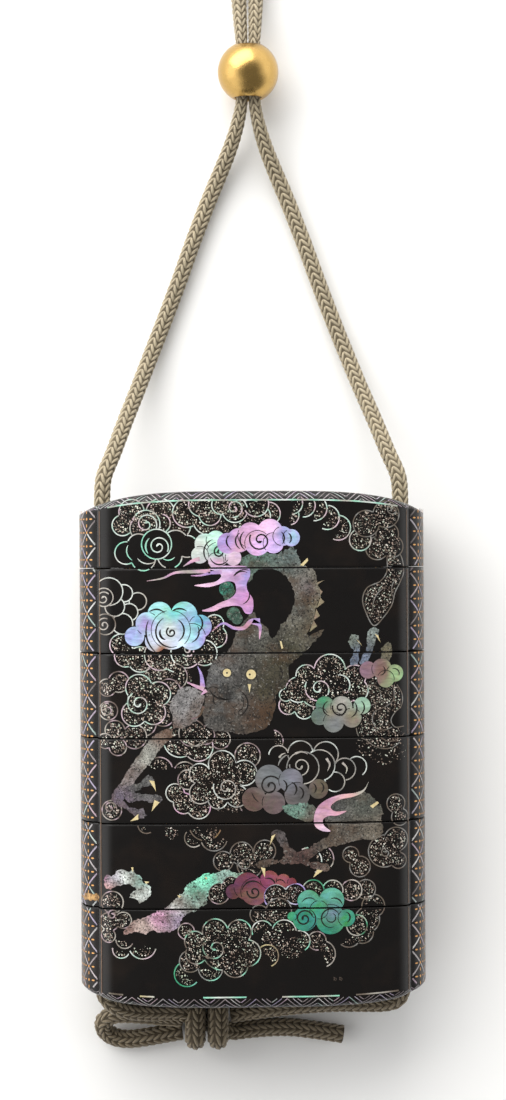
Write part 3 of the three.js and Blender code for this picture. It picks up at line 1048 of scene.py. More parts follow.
class INRO_OT_cords(Operator):
    """Braid the silk cord: the hanging strands with their loop, and the bow under the foot"""

    bl_idname = "inro.cords"
    bl_label = "Silk cord"

    def execute(self, context):
        # The core's material is painted shade between the stitches.
        silk = (silk_material(), core_shade_material())
        pulled, slack = mm("cord", "width"), mm("cord", "slack_width")
        knot = self.knot(silk)
        hanging = through(HANGING)
        self.stretch(
            "silk_hanging_cord", ["cord_hanging_loop"], hanging, [squeezed_width(p) for p in hanging], silk,
            exit=(-CHANNEL * MM, (CROWN - 2) * MM, MIDDLE * MM), diameter=pulled * MM, far_end="object",
            lay="taut", with_pieces=[bpy.data.objects["gilt_bead"]],
        )
        whole_tail = FOOT_LEFT + [(KNOT_LEFT + 4.1, FOOT - 5.7, 4.6)] + TAIL
        stretches = [
            ("silk_foot_right", ["cord_foot_right"], FOOT_RIGHT, pulled, "knot", "taut"),
            ("silk_bow_loop", ["cord_bow_loop"], BOW_LOOP, slack, "knot", "loose"),
            ("silk_foot_left_and_tail", ["cord_foot_left", "cord_tail"], whole_tail, slack, "bare", "loose"),
        ]
        for name, solids, route, width, far_end, lay in stretches:
            path = through(route, 0.7)
            self.stretch(
                name, solids, path, [width] * len(path), silk, exit=tuple(path[0] * MM), diameter=width * MM,
                far_end=far_end, lay=lay, with_pieces=[knot],
            )
        for node_name in ("cord_channel_left", "cord_channel_right"):
            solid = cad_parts[node_name]
            solid.data.materials.clear()
            solid.data.materials.append(silk[0])
        return {"FINISHED"}

    def stretch(self, name, solids, path, widths, silk, **said):
        """One stretch of the cord. What is said of it, in said, is not used."""
        made = braid(name, path, widths, silk)
        settle(made, "silk", *solids)

    def knot(self, silk):
        """The knot: the cord wrapped twice round the strands, and pressed flat against them."""
        width = (KNOT_RIGHT - KNOT_LEFT) / WRAPS
        centre = Vector((0, (KNOT_NEAR + KNOT_FAR) / 2, (KNOT_LOW + KNOT_TOP) / 2)) * MM
        work = bmesh.new()
        for i in range(WRAPS):
            path = wrap_path(KNOT_LEFT + width * (i + 0.5))
            part = braid(f"wrap_{i}", path, [width * WRAP_SHARE] * len(path), silk)
            work.from_mesh(part.data)
            bpy.data.objects.remove(part)
        for vertex in work.verts:
            offset = vertex.co - centre
            vertex.co.y = centre.y + offset.y * PRESSED
            vertex.co.z = max(OVER_FLOOR * MM, centre.z + offset.z * PRESSED)
        mesh = bpy.data.meshes.new("silk_knot")
        work.to_mesh(mesh)
        work.free()
        for material in silk:
            mesh.materials.append(material)
        knot = linked("silk_knot", mesh)
        settle(knot, "silk", "cord_knot")
        return knot


# The inlay: flat forms of shell, shell dust, engraving and gold on the panels

# How far each kind of piece stands off the lacquer.
LIFTS = {"dust": 0.030, "line": 0.045, "sheet": 0.058, "stroke": 0.076}
LIFTS |= {"cut": 0.086, "gold": 0.098, "pupil": 0.118}
LINE_WIDTH = 0.20
PANEL_END = 26.9
PANEL_TOP = 43.6
PANEL_BOTTOM = -43.6

# Shades of the shell, as light reflected.
WHITE = (0.56, 0.60, 0.56)
PEARL = (0.38, 0.35, 0.31)
MINT = (0.20, 0.56, 0.40)
GREEN = (0.03, 0.27, 0.13)
TEAL = (0.015, 0.20, 0.13)
PINK = (0.56, 0.30, 0.47)
ROSE = (0.44, 0.21, 0.28)
LILAC = (0.32, 0.24, 0.54)
SKY = (0.28, 0.42, 0.64)
CRIMSON = (0.15, 0.025, 0.05)
PLUM = (0.11, 0.035, 0.09)
SILVER = (0.20, 0.20, 0.19)
STONE = (0.10, 0.10, 0.095)
OLIVE = (0.06, 0.058, 0.034)
BRONZE = (0.085, 0.052, 0.034)
AMBER = (0.30, 0.12, 0.03)
CREAM = (0.46, 0.37, 0.20)
FAINT = (0.115, 0.088, 0.066)
BROWN = (0.11, 0.060, 0.032)


def round_spots(x, y, radius, angles):
    """Spots on a circle, or on a spiral, at these angles."""
    return np.column_stack([x + radius * np.cos(angles), y + radius * np.sin(angles)])


def circle_angles(steps):
    """Even angles round a circle."""
    return np.linspace(0, 2 * np.pi, steps, endpoint=False)


class Form:
    """One flat form of the picture, as round lobes or an outline. A lobe is x, y, radius and, where only
    part of its edge shows, the angles in degrees between which it does."""

    def __init__(self, kind, shades, lobes=(), outline=(), spiral=None, arcs=(), scales=False, spread=1.0):
        self.kind, self.shades = kind, shades
        self.lobes, self.outline = list(lobes), np.array(outline, float).reshape(-1, 2)
        self.spiral, self.arcs, self.scales, self.spread = spiral, arcs, scales, spread

    def box(self):
        """Lowest and highest corner."""
        low = [(b[0] - b[2], b[1] - b[2]) for b in self.lobes] + [tuple(p) for p in self.outline]
        high = [(b[0] + b[2], b[1] + b[2]) for b in self.lobes] + [tuple(p) for p in self.outline]
        return np.min(low, axis=0), np.max(high, axis=0)

    def in_lobe(self, lobe, spots, margin=0.0):
        """Which spots lie in one lobe."""
        away = spots - np.array(lobe[:2])
        inside = np.hypot(away[:, 0], away[:, 1]) < lobe[2] - margin
        if len(lobe) > 3:
            middle, half = (lobe[3] + lobe[4]) / 2, (lobe[4] - lobe[3]) / 2
            angle = np.degrees(np.arctan2(away[:, 1], away[:, 0]))
            turned = np.abs((angle - middle + 180) % 360 - 180)
            inside &= turned < half + 8
        return inside

    def covers(self, spots):
        """Which spots the form covers."""
        found = np.zeros(len(spots), bool)
        for lobe in self.lobes:
            found |= self.in_lobe(lobe, spots)
        if len(self.outline):
            found |= within(self.outline, spots)
        return found

    def edges(self):
        """The lines of its edge, each an array of spots."""
        runs = []
        for number, lobe in enumerate(self.lobes):
            start, end = lobe[3:5] or (0, 360)
            steps = max(8, int(lobe[2] * math.radians(end - start) / 0.2))
            spots = round_spots(*lobe[:3], np.radians(np.linspace(start, end, steps + 1)))
            hidden = np.zeros(len(spots), bool)
            for other, sibling in enumerate(self.lobes):
                if other != number:
                    hidden |= self.in_lobe(sibling, spots, 0.01)
            runs += visible_runs(spots, ~hidden)
        if len(self.outline):
            runs.append(smoothed(self.outline, closed=True))
        return runs

    def seams(self):
        """The edges of lobes inside the form, as if each lobe lay on those before it."""
        runs = []
        for number, lobe in enumerate(self.lobes[1:], 1):
            spots = round_spots(*lobe[:3], np.linspace(0, 2 * np.pi, 40))
            seen = np.any([self.in_lobe(other, spots, 0.25) for other in self.lobes[:number]], axis=0)
            for other in self.lobes[number + 1:]:
                seen &= ~self.in_lobe(other, spots)
            runs += visible_runs(spots, seen)
        return runs


def within(outline, spots):
    """Which spots lie inside an outline, by how often a level line from each crosses it."""
    inside = np.zeros(len(spots), bool)
    x, y = spots[:, 0], spots[:, 1]
    for (x1, y1), (x2, y2) in zip(outline, np.roll(outline, -1, axis=0)):
        crosses = (y1 > y) != (y2 > y)
        reach = x1 + (y - y1) * (x2 - x1) / (y2 - y1 if y2 != y1 else 1e-9)
        inside ^= crosses & (x < reach)
    return inside


def smoothed(line, closed=False, step=0.3):
    """A line drawn smoothly through its points."""
    points = [(x, y, 0) for x, y in line]
    if not closed:
        path = through(points, step)
    else:
        # The line runs on past both ends, and the spare lengths are cut off where it passes its first point.
        points = [points[-1], *points, points[0], points[1]]
        path = through(points, step)
        first = min(range(len(path)), key=lambda i: (path[i] - Vector(points[1])).length)
        last = max(range(len(path)), key=lambda i: (-(path[i] - Vector(points[-2])).length, i))
        path = path[first:last + 1]
    return np.array([(p.x, p.y) for p in path])


def visible_runs(spots, seen):
    """Split a line into the stretches that are seen."""
    runs, run = [], []
    for spot, shown in zip(spots, seen):
        if shown:
            run.append(spot)
        elif run:
            runs.append(np.array(run))
            run = []
    if run:
        runs.append(np.array(run))
    return [r for r in runs if len(r) > 1]


def curl(x, y, radius, turns=1.7, start=200, hand=1):
    """A spiral that winds inwards, and the width of its line: it ends in a small bulb."""
    t = np.linspace(0, 1, int(40 * turns))
    angle = np.radians(start) + hand * 2 * np.pi * turns * t
    reach = radius * (1 - t) ** 0.85 + 0.12
    return round_spots(x, y, reach, angle), 0.24 + 0.30 * np.clip((t - 0.82) / 0.18, 0, 1)


def crescent(x, y, radius, start, end, thick=0.34):
    """An arc that is thickest in its middle."""
    steps = max(6, int(radius * math.radians(abs(end - start)) / 0.25))
    t = np.linspace(0, 1, steps)
    line = round_spots(x, y, radius, np.radians(start + (end - start) * t))
    return line, 0.07 + (thick - 0.07) * np.sin(np.pi * t) ** 0.8


def tapering(line, thick, tip=0.06):
    """A flame or ribbon: thick at its root and fine at its tip."""
    spots = smoothed(line, step=0.35)
    t = np.linspace(0, 1, len(spots))
    return spots, tip + (thick - tip) * (1 - t) ** 0.75


def spots_on_panel(spots, lift, side):
    """Places on the front or back panel, in millimetres, lifted off it a little."""
    plan = tier_plan()
    x = spots[:, 0]
    deep = np.array([panel_half(plan, value) for value in x])
    beside = np.array([panel_half(plan, value + 0.01) for value in x])
    slope = (beside - deep) / 0.01
    size = np.sqrt(1 + slope**2)
    out_x, out_z = x - slope / size * lift, MIDDLE + side * (deep + lift / size)
    return np.column_stack([out_x, spots[:, 1], out_z])


def blended(stops, spots):
    """Shades at the spots. Stops are one shade, or shades each at a place, as (x, y, shade)."""
    if not hasattr(stops[0], "__len__"):
        return np.tile(np.array(stops, float), (len(spots), 1))
    if len(stops[0]) == 3 and hasattr(stops[0][2], "__len__"):
        places = np.array([s[:2] for s in stops], float)
        shades = np.array([s[2] for s in stops], float)
        away = np.linalg.norm(spots[:, None, :] - places[None], axis=2)
        weight = 1 / (away**2.6 + 0.05)
        return (weight[:, :, None] * shades[None]).sum(1) / weight.sum(1)[:, None]
    wave = 0.5 + 0.5 * np.sin(spots[:, 0] * 0.9 + spots[:, 1] * 0.7 + 1.3 * np.sin(spots[:, 1] * 0.6))
    place = wave * (len(stops) - 1)
    low = np.minimum(place.astype(int), len(stops) - 2)
    share = (place - low)[:, None]
    shades = np.array(stops, float)
    return shades[low] * (1 - share) + shades[low + 1] * share


# The joints, with a far end below and above them.
LEVELS = [-1e9, *JOINTS, 1e9]
SEAM_WIDTH = 0.11
# A sheet and the dust end at the first distance from a joint. The second is the least from a face's middle.
JOINT_CLEAR = 0.15
FACE_CLEAR = 0.16


class Inlay:
    """Gathers the flat pieces of one panel, for each box of the tier."""

    MATERIALS = ["line", "sheet", "scales", "cut", "gold"]

    def __init__(self, side):
        self.side = side
        self.vertices, self.faces, self.slots, self.tints = ([[] for _ in TIER] for _ in range(4))

    def add(self, spots, faces, lift, slot, shades):
        """Add flat faces, each to the box that it lies on. A face across a joint is left out."""
        placed = spots_on_panel(spots, lift, self.side)
        for face in faces:
            x, y = spots[list(face)].mean(axis=0)
            if abs(x) > PANEL_END or not PANEL_BOTTOM < y < PANEL_TOP:
                continue
            if min(abs(y - joint) for joint in JOINTS) < FACE_CLEAR:
                continue
            tier = next(i for i in range(len(TIER)) if LEVELS[i] <= y < LEVELS[i + 1])
            base = len(self.vertices[tier])
            corners = [tuple(placed[i]) for i in face]
            turn = Vector(corners[1]) - Vector(corners[0])
            if turn.cross(Vector(corners[2]) - Vector(corners[0])).z * self.side < 0:
                corners, face = corners[::-1], face[::-1]
            self.vertices[tier] += corners
            self.tints[tier] += [tuple(shades[i]) for i in face]
            self.faces[tier].append(tuple(range(base, base + len(corners))))
            self.slots[tier].append(self.MATERIALS.index(slot))

    def ribbon(self, line, width, lift, slot, stops, hiders=()):
        """Lay a line of the given width, without what later forms hide."""
        count = len(line)
        if count < 2:
            return
        ahead = np.gradient(line, axis=0)
        ahead /= np.maximum(np.linalg.norm(ahead, axis=1), 1e-9)[:, None]
        across = np.column_stack([-ahead[:, 1], ahead[:, 0]])
        half = np.broadcast_to(np.asarray(width, float) / 2, count)[:, None]
        spots = np.concatenate([line + across * half, line - across * half])
        hidden = np.zeros(count, bool)
        for hider in hiders:
            hidden |= hider.covers(line)
        shown = [i for i in range(count - 1) if not (hidden[i] or hidden[i + 1])]
        faces = [[i, i + 1, count + i + 1, count + i] for i in shown]
        self.add(spots, faces, LIFTS[lift], slot, blended(stops, spots))

    def sheet(self, form, hiders, slot, number):
        """Fill a form with thin shell, cut exactly by its edge, by the joints and by what lies over it."""
        low, high = form.box()
        loops = []
        if len(form.outline):
            edge = smoothed(form.outline, closed=True, step=0.34)
            if form.scales:
                edge = edge + np.random.default_rng(number).normal(0, 0.10, edge.shape)
            loops.append((edge, True))
        over_it = [h for h in hiders if (h.box()[0] < high).all() and (h.box()[1] > low).all()]
        lobes = list(form.lobes) + [lobe for h in over_it for lobe in h.lobes if len(lobe) == 3]
        for lobe in lobes:
            loops.append((round_spots(*lobe[:3], circle_angles(max(18, int(lobe[2] * 18)))), True))
        loops += [(h.outline, True) for h in over_it if len(h.outline)]
        for joint in JOINTS:
            if low[1] - 1 < joint < high[1] + 1:
                for y in (joint - JOINT_CLEAR, joint + JOINT_CLEAR):
                    loops.append((np.array([(low[0] - 1, y), (high[0] + 1, y)]), False))
        points, edges = [], []
        for loop, closed in loops:
            base, size = len(points), len(loop)
            points += [Vector(p) for p in loop]
            edges += [(base + i, base + (i + 1) % size) for i in range(size if closed else size - 1)]
        for x in np.arange(low[0], high[0], 1.1):
            points += [Vector((x + 0.13, y + 0.07)) for y in np.arange(low[1], high[1], 1.1)]
        made, _, triangles, *_ = delaunay_2d_cdt(points, edges, [], 0, 1e-5)
        spots = np.array([tuple(p) for p in made])
        faces = [list(t) for t in triangles]
        middles = np.array([spots[t].mean(axis=0) for t in faces])
        wanted = within(edge, middles) if len(form.outline) else form.covers(middles)
        for hider in over_it:
            wanted &= ~hider.covers(middles)
        kept = [t for t, keep in zip(faces, wanted) if keep]
        self.add(spots, kept, LIFTS["sheet"] + number * 0.0001, slot, blended(form.shades, spots))

    def draw(self, forms):
        """Lay every form, from the back of the picture to its front."""
        for number, form in enumerate(forms):
            hiders = [f for f in forms[number + 1:] if f.kind not in ("stroke", "trace", "powder", "gold")]
            look, spiral_share, lines = ("line", "line", form.shades, hiders), 0.85, []
            if form.kind in ("dust", "line"):
                lines = [(run, LINE_WIDTH) for run in form.edges()]
            elif form.kind == "trace":
                lines = [(smoothed(form.outline), LINE_WIDTH * 0.8)]
            elif form.kind == "shell":
                self.sheet(form, hiders, "scales" if form.scales else "sheet", number)
                look, spiral_share = ("cut", "cut", STONE, hiders), 1.1
                lines = [(seam, SEAM_WIDTH) for seam in form.seams()]
            elif form.kind == "stroke":
                look, lines = ("stroke", "sheet", form.shades), [tapering(form.outline, form.spread)]
            elif form.kind == "gold":
                self.piece(form.outline, "gold", "gold", CREAM)
            if form.spiral:
                line, width = curl(*form.spiral)
                lines.append((line, width * spiral_share))
            for line, width in lines + [crescent(*each) for each in form.arcs]:
                self.ribbon(line, width, *look)

    def piece(self, corners, lift, slot, shade):
        """Lay one flat piece of a single shade."""
        count = len(corners)
        self.add(corners, [list(range(count))], LIFTS[lift], slot, np.tile(shade, (count, 1)))

    def finish(self, prefix, materials):
        """Make one object for each box."""
        for tier, name in enumerate(TIER):
            if self.faces[tier]:
                made = new_object(f"{prefix}_{name}", self.vertices[tier], self.faces[tier], materials, False)
                made.data.polygons.foreach_set("material_index", self.slots[tier])
                carry(made, "tint", "FLOAT_COLOR", self.tints[tier])
                settle(made, "lacquer")


def flat_gold(*corners):
    """A small flat piece of gold."""
    return Form("gold", CREAM, outline=corners)


def gold_disc(x, y, radius):
    """A round piece of gold."""
    return Form("gold", CREAM, outline=round_spots(x, y, radius, circle_angles(14)))


def stack(kind, shades, lobes, **more):
    """Scales that overlap: each lobe hides part of the one before it."""
    forms = [Form(kind, shades, [lobe]) for lobe in lobes]
    if more:
        forms[-1] = Form(kind, shades, [lobes[-1]], **more)
    return forms


COLD = (WHITE, (0.34, 0.54, 0.44), PEARL, (0.54, 0.40, 0.46))
WARM = (PEARL, FAINT, (0.42, 0.31, 0.35), FAINT)
DIM = (FAINT, SILVER, FAINT)


def clouds_behind():
    """The clouds that lie behind the dragon, from the top of the panel down."""
    forms = stack("dust", COLD, [
        (14.7, 38.5, 2.15, -115, 85), (12.8, 40.3, 2.1, -115, 85), (10.6, 41.9, 2.15, -95, 35),
        (8.7, 42.4, 2.0, -95, 30), (6.2, 40.7, 1.65, -80, 70), (6.6, 42.8, 1.9, -85, 30),
    ])
    forms += [
        Form("dust", COLD, [(-22.8, 39.1, 1.8), (-21.2, 41.4, 2.2), (-13.2, 38.9, 2.2), (-16.2, 41.2, 2.5)]),
        Form("dust", COLD, [(-19.4, 38.6, 2.1), (-18.7, 39.3, 2.4)], spiral=(-18.7, 39.3, 1.9, 1.5, -60)),
        Form("dust", COLD, [(-16.1, 39.4, 1.6, -80, 80)]),
        Form(
            "dust", COLD,
            [(-11.6, 41.2, 2.5), (-8.2, 39.8, 2.3), (-4.8, 39.7, 2.5), (-0.6, 40.8, 2.6), (2.6, 41, 2)],
        ),
        Form("dust", COLD, [(-9.2, 42.7, 2.1), (-7.6, 40.9, 1.9)]),
        Form("dust", COLD, [(-5.6, 42.6, 1.7), (-3.3, 41.7, 2.2)], spiral=(-3.4, 42.0, 1.5, 1.4, -100)),
        Form("dust", COLD, [(0.9, 40.6, 2.0, -150, 60)]),
        Form("dust", COLD, [(0.4, 42.7, 2.2, -150, 40)]),
    ]
    tail = [(23.5, 34.0), (23.2, 30.8), (22.1, 29.2), (19.7, 28.0), (18.9, 26.0), (19.5, 23.7), (20.9, 21.4)]
    tail += [(22.6, 22.9), (24.1, 25.1), (24.6, 27.1), (25.5, 28.9), (26.2, 30.8), (25.4, 34.0)]
    forms += [
        Form(
            "dust", DIM, outline=tail,
            arcs=[(24.6, 24.6, 3.9, 110, 190, 0.2), (26.6, 27.6, 2.6, 130, 210, 0.2)],
        ),
        Form("dust", DIM, [(21.5, 34.9, 2.0), (24.2, 35.2, 1.9), (23.3, 37.4, 2.0)]),
        Form("dust", COLD[1:], [(18.55, 36.4, 1.9)]),
        Form("dust", DIM, [(19.6, 39.2, 2.3), (23.1, 40.8, 2.3)], spiral=(24.3, 41.6, 0.9, 1.2, 120)),
        Form(
            "line", (MINT, WHITE, PEARL),
            [
                (-22.2, 34.3, 1.95), (-19.2, 33.3, 2.1), (-14.6, 33.7, 2.1), (-11.6, 35.4, 1.9),
                (-20.0, 35.6, 2.0), (-13.6, 36.0, 2.2),
            ],
            arcs=[
                (-20.2, 34.7, 1.9, 150, 240, 0.22), (-18.4, 34.6, 2.2, 215, 300, 0.2),
                (-14.9, 34.5, 1.5, 230, 320, 0.2),
            ],
        ),
        Form(
            "line", (WHITE, MINT), [(-16.9, 35.8, 2.6)], spiral=(-16.6, 35.4, 1.7, 1.5, -30),
            arcs=[(-16.9, 35.4, 1.9, 130, 220, 0.3)],
        ),
    ]
    forms += stack("line", (WHITE, PEARL), [
        (-20.2, 25.9, 1.5), (-22.6, 27.3, 1.5), (-21.7, 24.0, 1.5), (-22.9, 22.0, 1.8), (-24.2, 25.0, 1.7),
        (-25.2, 27.6, 2.4),
    ])
    forms += [
        Form("line", (FAINT, PEARL), [(-26.1, 26.6, 1.6)], spiral=(-26.2, 26.4, 1.1, 1.3, 40)),
        Form("line", (PEARL, FAINT), [(-25.9, 21.9, 1.8)], spiral=(-26.1, 21.8, 1.1, 1.4, 60)),
        Form("dust", COLD, [(-6.9, 21.9, 1.6), (-6.7, 19.7, 1.9)]),
        Form("dust", COLD, [(-23.2, 18.3, 1.9), (-22.4, 16.4, 1.9), (-19.8, 15.8, 2.2)]),
        Form("dust", COLD, [(-16.4, 16.6, 2.7), (-13.6, 15.9, 2.3)]),
        Form("dust", COLD, [(-8.7, 16.9, 2.2), (-11.8, 17.0, 2.7)], spiral=(-11.5, 17.4, 1.1, 1.5, 200)),
        Form("powder", WARM, [(-16.2, 13.1, 2.4), (-18.6, 13.6, 1.6), (-12.2, 12.6, 1.6)], spread=0.8),
        Form("dust", WARM, [(-14.0, 12.8, 2.3, -75, 80)], spread=1.2),
        Form(
            "dust", WARM,
            [
                (-25.6, 10.9, 1.5), (-23.6, 11.9, 1.8), (-14.9, 10.4, 2.0), (-15.9, 6.2, 2.0),
                (-19.3, 4.7, 2.2),
            ],
        ),
        Form("dust", WARM, [(-24.3, 3.5, 1.7), (-20.9, 2.4, 2.1)]),
        Form(
            "dust", COLD,
            [(-20.1, 10.9, 2.3), (-16.7, 9.8, 2.1), (-17.6, 6.6, 2.1), (-20.9, 6.4, 2.2), (-19, 8.6, 3)],
            spiral=(-20.1, 8.1, 2.0, 1.6, 120),
        ),
        Form("dust", WARM, [(-25.4, 6.9, 1.6)], spiral=(-25.6, 7.0, 1.1, 1.4, 80)),
        Form("dust", WARM, [(-26.0, 1.6, 1.3), (-23.8, 0.6, 1.5)]),
        Form("dust", WARM, [(-16.6, -3.5, 2.3, 15, 165)]),
        Form("dust", WARM, [(-12.2, -3.9, 1.9, 25, 155)]),
        Form("dust", WARM, [(-24.9, -10.4, 1.7)], spiral=(-25.2, -10.0, 1.0, 1.2, 0)),
        Form("dust", WARM, [(-6.0, 1.9, 1.7)]),
        Form("dust", COLD, [(-13.0, 1.6, 2.8), (-9.8, 0.6, 2.5)]),
        Form("dust", WARM, [(-10.9, 3.0, 2.3), (-8.6, 2.6, 1.6)], arcs=[(-10.2, 2.6, 1.9, 200, 300, 0.2)]),
        Form("dust", WARM, [(3.0, 1.5, 1.9, -90, 80)]),
        Form("dust", WARM, [(-1.3, -1.0, 2.2)]),
        Form("dust", WARM, [(-4.4, -11.3, 2.2, 20, 160)]),
        Form("dust", (PINK, PEARL, WHITE), [(-13.9, -7.4, 1.6), (-12.4, -9.2, 1.8), (-9.8, -9.9, 2.0)]),
        Form("dust", WARM, [(-11.7, -5.1, 1.7)]),
        Form(
            "dust", (PEARL, SILVER, WHITE),
            [
                (-9.6, -4.1, 1.8), (-5.7, -2.5, 2.4), (-1.9, -4.0, 2.2), (-3.2, -8.0, 1.9), (-6.5, -8.5, 1.7),
                (-9.5, -7.4, 1.9), (-5.9, -5.8, 3.2),
            ],
            spiral=(-5.0, -6.6, 2.2, 1.5, 160),
        ),
        Form("dust", COLD, [(5.8, 7.7, 1.6), (8.6, 6.9, 1.6)]),
        Form(
            "dust", COLD,
            [
                (13.1, 13.8, 2.7), (17.4, 12.6, 2.0), (17.9, 10.2, 1.9), (11.0, 10.6, 3.3), (7.6, 10.4, 2.2),
                (5.4, 9.5, 1.1), (9.0, 12.9, 1.8), (14.6, 10.2, 3.0),
            ],
            spiral=(11.2, 10.5, 2.4, 1.5, 150), arcs=[(14.8, 11.1, 1.8, -50, 100, 0.24)],
        ),
        Form(
            "powder", DIM,
            outline=[
                (19.4, 12.0), (22.0, 13.0), (24.6, 12.0), (26.0, 9.6), (25.9, 7.0), (24.4, 5.6), (24.2, 3.6),
                (26.2, 3.4), (25.6, 1.2), (23.5, 0.1), (20.8, 0.6), (18.0, 2.2), (17.4, 4.0), (18.4, 5.6),
                (20.2, 7.6), (19.6, 9.6),
            ],
            spread=0.55,
        ),
        Form("powder", DIM, [(22.6, -0.8, 2.6), (19.2, 0.6, 2.0), (25.0, -0.6, 1.8)], spread=0.22),
        Form("blank", DIM, outline=[(24.0, 6.5), (25.1, 5.9), (25.4, 4.0), (24.3, 4.0), (23.7, 5.2)]),
        Form(
            "trace", DIM,
            outline=[
                (20.0, 12.4), (21.7, 12.5), (23.4, 11.8), (24.3, 10.3), (24.2, 8.4), (22.7, 7.2), (21.0, 6.5),
                (20.5, 5.0), (21.3, 3.5), (22.7, 3.2), (24.0, 3.7),
            ],
        ),
        Form("trace", DIM, outline=[(19.6, 11.1), (21.0, 10.9), (22.0, 9.6), (21.7, 8.2), (20.2, 7.5)]),
        Form(
            "trace", DIM,
            outline=[
                (24.9, 11.1), (25.8, 9.4), (25.7, 7.5), (24.4, 6.1), (23.8, 4.8), (24.5, 3.7), (26.1, 3.8),
            ],
        ),
        Form(
            "trace", (SILVER, FAINT),
            outline=[
                (17.5, 4.6), (18.1, 2.2), (19.4, 1.5), (20.6, 0.6), (22.1, 0.0), (24.0, 0.1), (25.3, 1.0),
            ],
        ),
        Form("trace", FAINT, outline=[(22.0, 1.9), (23.4, 1.2), (25.0, 1.6), (26.2, 2.6)]),
    ]
    forms += stack(
        "line", (PEARL, SILVER, WHITE),
        [
            (17.7, -3.1, 1.75, -55, 165), (15.6, -3.5, 1.9), (12.3, -0.9, 2.2), (13.9, -5.7, 1.7),
            (7.9, -0.7, 2.2), (4.1, -1.0, 1.7, 15, 175), (11.2, -2.8, 2.7),
        ],
    )
    forms += [
        Form(
            "line", (PEARL, SILVER), [(8.3, -3.2, 2.8)], spiral=(7.9, -2.9, 1.8, 1.5, 170),
            arcs=[(6.4, -3.2, 2.4, 110, 170, 0.3)],
        ),
        Form("stroke", PEARL, outline=[(12.4, -1.6), (13.0, -2.6), (12.6, -3.8)], spread=0.45),
        Form("stroke", PEARL, outline=[(15.2, -2.4), (16.0, -3.3), (15.8, -4.3)], spread=0.4),
        Form("stroke", PEARL, outline=[(7.0, -0.7), (8.1, -0.4), (9.2, -0.8)], spread=0.4),
        Form("stroke", PEARL, outline=[(4.2, -1.4), (4.6, -0.9), (5.3, -0.6)], spread=0.4),
        Form("dust", DIM, [(24.6, -9.6, 1.6), (25.3, -12.0, 1.5)]),
        Form("dust", DIM, [(16.6, -18.4, 1.4), (18.2, -20.5, 1.8)]),
        Form(
            "dust", DIM, [(24.6, -15.9, 2.1), (22.5, -17.9, 2.8), (25.0, -19.6, 1.4)],
            spiral=(22.8, -18.2, 0.8, 1.1, 100),
        ),
        Form("dust", (FAINT, (0.22, 0.13, 0.06)), [(-8.7, -12.9, 2.8, 200, 340)]),
        Form("dust", (PEARL, FAINT, SILVER), [(-10.7, -15.2, 1.6, 140, 310), (-7.2, -15.2, 2.3, 200, 345)]),
        Form("dust", FAINT, [(-18.9, -12.9, 1.5, 185, 300)]),
        Form("powder", CRIMSON, [(-14.6, -14.3, 1.4)], spread=0.5),
        Form("dust", WARM, [(11.3, -19.0, 2.3, -40, 130)]),
        Form("dust", COLD, [(9.2, -19.4, 2.3, -60, 120)]),
        Form(
            "dust", DIM, [(-5.6, -19.3, 1.7), (-2.4, -18.0, 2.0), (1.6, -17.6, 1.9), (-1.0, -20.0, 2.2)],
            spiral=(-1.8, -19.6, 1.2, 1.3, 150),
        ),
    ]
    return forms


